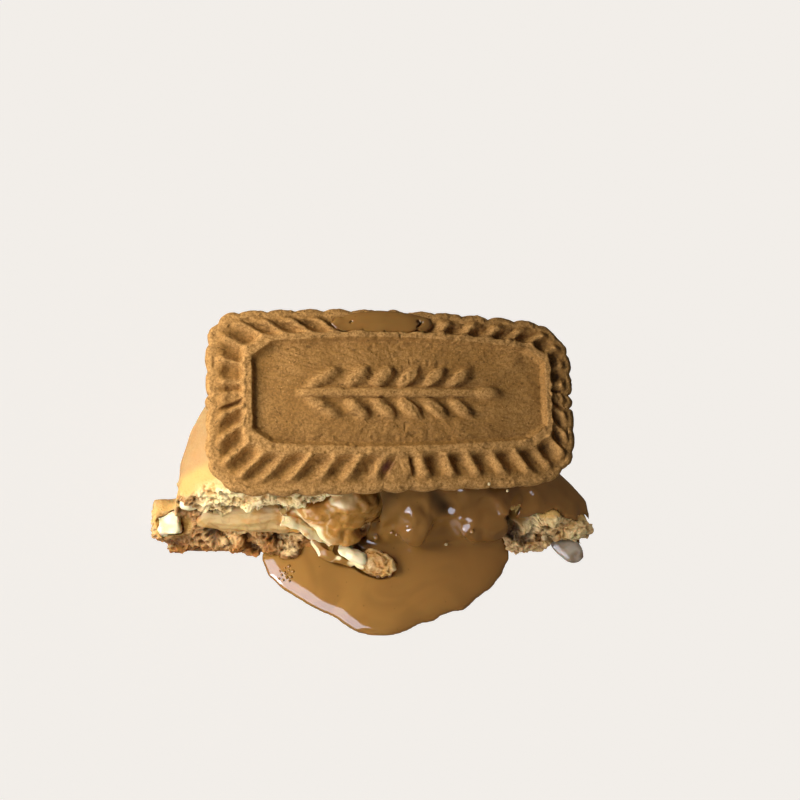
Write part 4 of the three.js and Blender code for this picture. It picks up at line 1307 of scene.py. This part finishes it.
class PourSpread(bpy.types.Operator):
    """Pours the melted spread with its bubbles and crumbs, and smears some over the biscuit"""

    bl_idname = "stuffed_cookie.pour_spread"
    bl_label = "Pour Spread"

    def execute(self, context):
        material = spread_finish(context.scene.cookie_spread)
        flow = poured_spread()
        finished(flow, ["melted_spread"], material)
        finished(smeared_spread(), ["spread_smear"], material)
        surface = places(flow)
        finished(air_bubbles(surface), [], material)
        crumbs = crumb_finish(context.scene.cookie_body)
        finished(loose_crumbs(surface), [], crumbs)
        return {"FINISHED"}


DRIP_STRETCH = 0.7  # how much longer the drip gets towards its back
DRIP_SPREAD = 0.12  # how much wider, for each millimetre back


class DripGlaze(bpy.types.Operator):
    """Adds the pale drip at the right-hand end"""

    bl_idname = "stuffed_cookie.drip_glaze"
    bl_label = "Drip Glaze"

    def execute(self, context):
        piece = soft_lump("glaze_drip", 0.2, 6, 0.1, 1.6, 101)
        points = places(piece)
        back = points[:, 1] - points[:, 1].min()
        points[:, 1] += DRIP_STRETCH * back
        points[:, 0] += DRIP_SPREAD * back * (points[:, 0] - points[:, 0].mean())
        put(piece, points)
        finished(piece, ["glaze_drip"], glaze_finish())
        return {"FINISHED"}


class SetStage(bpy.types.Operator):
    """Sets the floor, the light and the camera"""

    bl_idname = "stuffed_cookie.set_stage"
    bl_label = "Set Stage"

    def execute(self, context):
        settings = context.scene.cookie_stage
        lay_floor(settings)
        context.scene.view_settings.view_transform = "Standard"
        context.scene.view_settings.look = "None"
        light_room(settings)
        light_stage(settings)
        place_camera(settings)
        return {"FINISHED"}


# ---- Stage -----------------------------------------------------------------------------------

FLOOR_SIZE = 6.0
SKY_STRENGTH = 0.07
FLOOR_SHADE = 0.3  # how much of the floor's brightness is light that falls on it
ROOM_COLOUR = (0.93, 0.96, 1.0)
PANEL_LIGHTS = {
    "key_left": ((-0.1, 0.0, 0.1), (-0.02, 0.0, 0.02), (0.09, 0.09), (1.0, 0.96, 0.9)),
    "card_front": (
        (-0.03, -0.13, 0.05), (0.004, -0.01, 0.008), (0.08, 0.08), (1.0, 0.97, 0.93)),
    "window": ((-0.32, -0.2, 0.3), (0, -0.01, 0.005), (0.5, 0.4), (0.74, 0.8, 1.0)),
    "window_low": ((-0.3, -0.16, 0.11), (0.008, -0.01, 0.008), (0.06, 0.2), (0.85, 0.9, 1.0)),
    "card_right": (
        (0.13, 0.02, 0.09), (0.034, -0.004, 0.008), (0.06, 0.06), (1.0, 0.95, 0.9)),
}  # place, target and size in metres, and colour of each
WINDOW_POWERS = {"window": 4.0, "window_low": 0.5}  # seen as reflections only
CARD_RIGHT_SHARE = 0.6  # of the front card's power
LIT_FROM_THE_RIGHT = ("cookie", "glaze_drip", "melted_spread")
SENSOR_WIDTH = 36
FOCAL_LENGTH = 40.5


def lay_floor(settings):
    """A pale floor that glows like the backdrop and takes soft shadows."""
    bpy.ops.object.select_all(action="DESELECT")
    bpy.ops.mesh.primitive_plane_add(size=FLOOR_SIZE, location=(0, 0, -0.0002))
    floor = added("floor")
    finish = Finish("pale_floor")
    colour = tuple(settings.floor_colour)
    finish.set(Roughness=0.9, Specular_IOR_Level=0.0)
    finish.set(Base_Color=(*tinted(colour, FLOOR_SHADE), 1), Emission_Color=(*colour, 1))
    finish.set(Emission_Strength=1 - SKY_STRENGTH * FLOOR_SHADE)
    floor.data.materials.append(finish.material)
    floor.visible_diffuse = False
    floor.visible_glossy = False
    floor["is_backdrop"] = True


def add_panel_light(name, power, place, target, size, colour):
    """A soft rectangular light that faces a target, seen as a reflection only or not at all."""
    data = bpy.data.lights.new(name, "AREA")
    data.shape = "RECTANGLE"
    data.size, data.size_y = size
    data.energy = power
    data.color = colour
    light = bpy.data.objects.new(name, data)
    light.location = place
    light.rotation_euler = (Vector(target) - Vector(place)).to_track_quat("-Z", "Y").to_euler()
    light.visible_glossy = name in WINDOW_POWERS
    light.visible_diffuse = name not in WINDOW_POWERS
    bpy.context.scene.collection.objects.link(light)
    return light


def light_room(settings):
    """A dim room for the light and the reflections, behind a pale backdrop for the camera."""
    world = bpy.data.worlds.new("soft_room")
    world.use_nodes = True
    bpy.context.scene.world = world
    tree = world.node_tree
    room = tree.nodes["Background"]
    room.inputs["Color"].default_value = (*ROOM_COLOUR, 1)
    room.inputs["Strength"].default_value = SKY_STRENGTH
    backdrop = tree.nodes.new("ShaderNodeBackground")
    backdrop.inputs["Color"].default_value = (*settings.floor_colour, 1)
    seen = tree.nodes.new("ShaderNodeLightPath")
    either = tree.nodes.new("ShaderNodeMixShader")
    tree.links.new(seen.outputs["Is Camera Ray"], either.inputs["Fac"])
    tree.links.new(room.outputs["Background"], either.inputs[1])
    tree.links.new(backdrop.outputs["Background"], either.inputs[2])
    tree.links.new(either.outputs["Shader"], tree.nodes["World Output"].inputs["Surface"])


def light_stage(settings):
    """The panel lights, which fall on the pieces and not on the floor."""
    powers = {
        "key_left": settings.key_power, "card_front": settings.card_power, **WINDOW_POWERS,
        "card_right": CARD_RIGHT_SHARE * settings.card_power,
    }
    lights = [add_panel_light(name, power, *PANEL_LIGHTS[name]) for name, power in powers.items()]
    body = bpy.data.collections.new("lit_from_the_right")
    lit = bpy.data.collections.new("lit_by_panels")
    for collection in (body, lit):
        bpy.context.scene.collection.children.link(collection)
    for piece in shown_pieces():
        lit.objects.link(piece)
        if piece.name.startswith(LIT_FROM_THE_RIGHT):
            body.objects.link(piece)
    for light in lights:
        light.light_linking.receiver_collection = body if light.name == "card_right" else lit


def place_camera(settings):
    """The camera, looking down at the settings' tilt."""
    data = bpy.data.cameras.new("camera")
    data.sensor_width = SENSOR_WIDTH
    data.lens = FOCAL_LENGTH
    data.clip_start = 0.01
    camera = bpy.data.objects.new("camera", data)
    camera.location = settings.camera_place
    camera.rotation_euler = (settings.camera_tilt, 0, 0)
    bpy.context.scene.collection.objects.link(camera)
    bpy.context.scene.camera = camera


# ---- Panel and registration --------------------------------------------------------------------

STEPS = (BakeBiscuit, BakeCookie, FillCookie, AddWhiteChocolate, PourSpread, DripGlaze, SetStage)


class StuffedCookiePanel(bpy.types.Panel):
    """Lists the steps and their settings"""

    bl_idname = "VIEW3D_PT_stuffed_cookie"
    bl_label = "Stuffed Cookie"
    bl_space_type = "VIEW_3D"
    bl_region_type = "UI"
    bl_category = "Cookie"

    def draw(self, context):
        for step in STEPS:
            self.layout.operator(step.bl_idname)
        for name, group in SETTINGS.items():
            box = self.layout.box()
            for setting in group.__annotations__:
                box.prop(getattr(context.scene, name), setting)


def register():
    """Adds the settings, the steps and the panel to Blender."""
    for group in SETTINGS.values():
        bpy.utils.register_class(group)
    for name, group in SETTINGS.items():
        setattr(bpy.types.Scene, name, bpy.props.PointerProperty(type=group))
    for part in (*STEPS, StuffedCookiePanel):
        bpy.utils.register_class(part)


def unregister():
    """Takes them away again."""
    for part in (StuffedCookiePanel, *reversed(STEPS)):
        bpy.utils.unregister_class(part)
    for name in SETTINGS:
        delattr(bpy.types.Scene, name)
    for group in SETTINGS.values():
        bpy.utils.unregister_class(group)


def main():
    """Makes every piece and the stage."""
    register()
    bpy.ops.stuffed_cookie.bake_biscuit()
    bpy.ops.stuffed_cookie.bake_cookie()
    bpy.ops.stuffed_cookie.fill_cookie()
    bpy.ops.stuffed_cookie.add_white_chocolate()
    bpy.ops.stuffed_cookie.pour_spread()
    bpy.ops.stuffed_cookie.drip_glaze()
    bpy.ops.stuffed_cookie.set_stage()


if __name__ == "__main__":
    main()
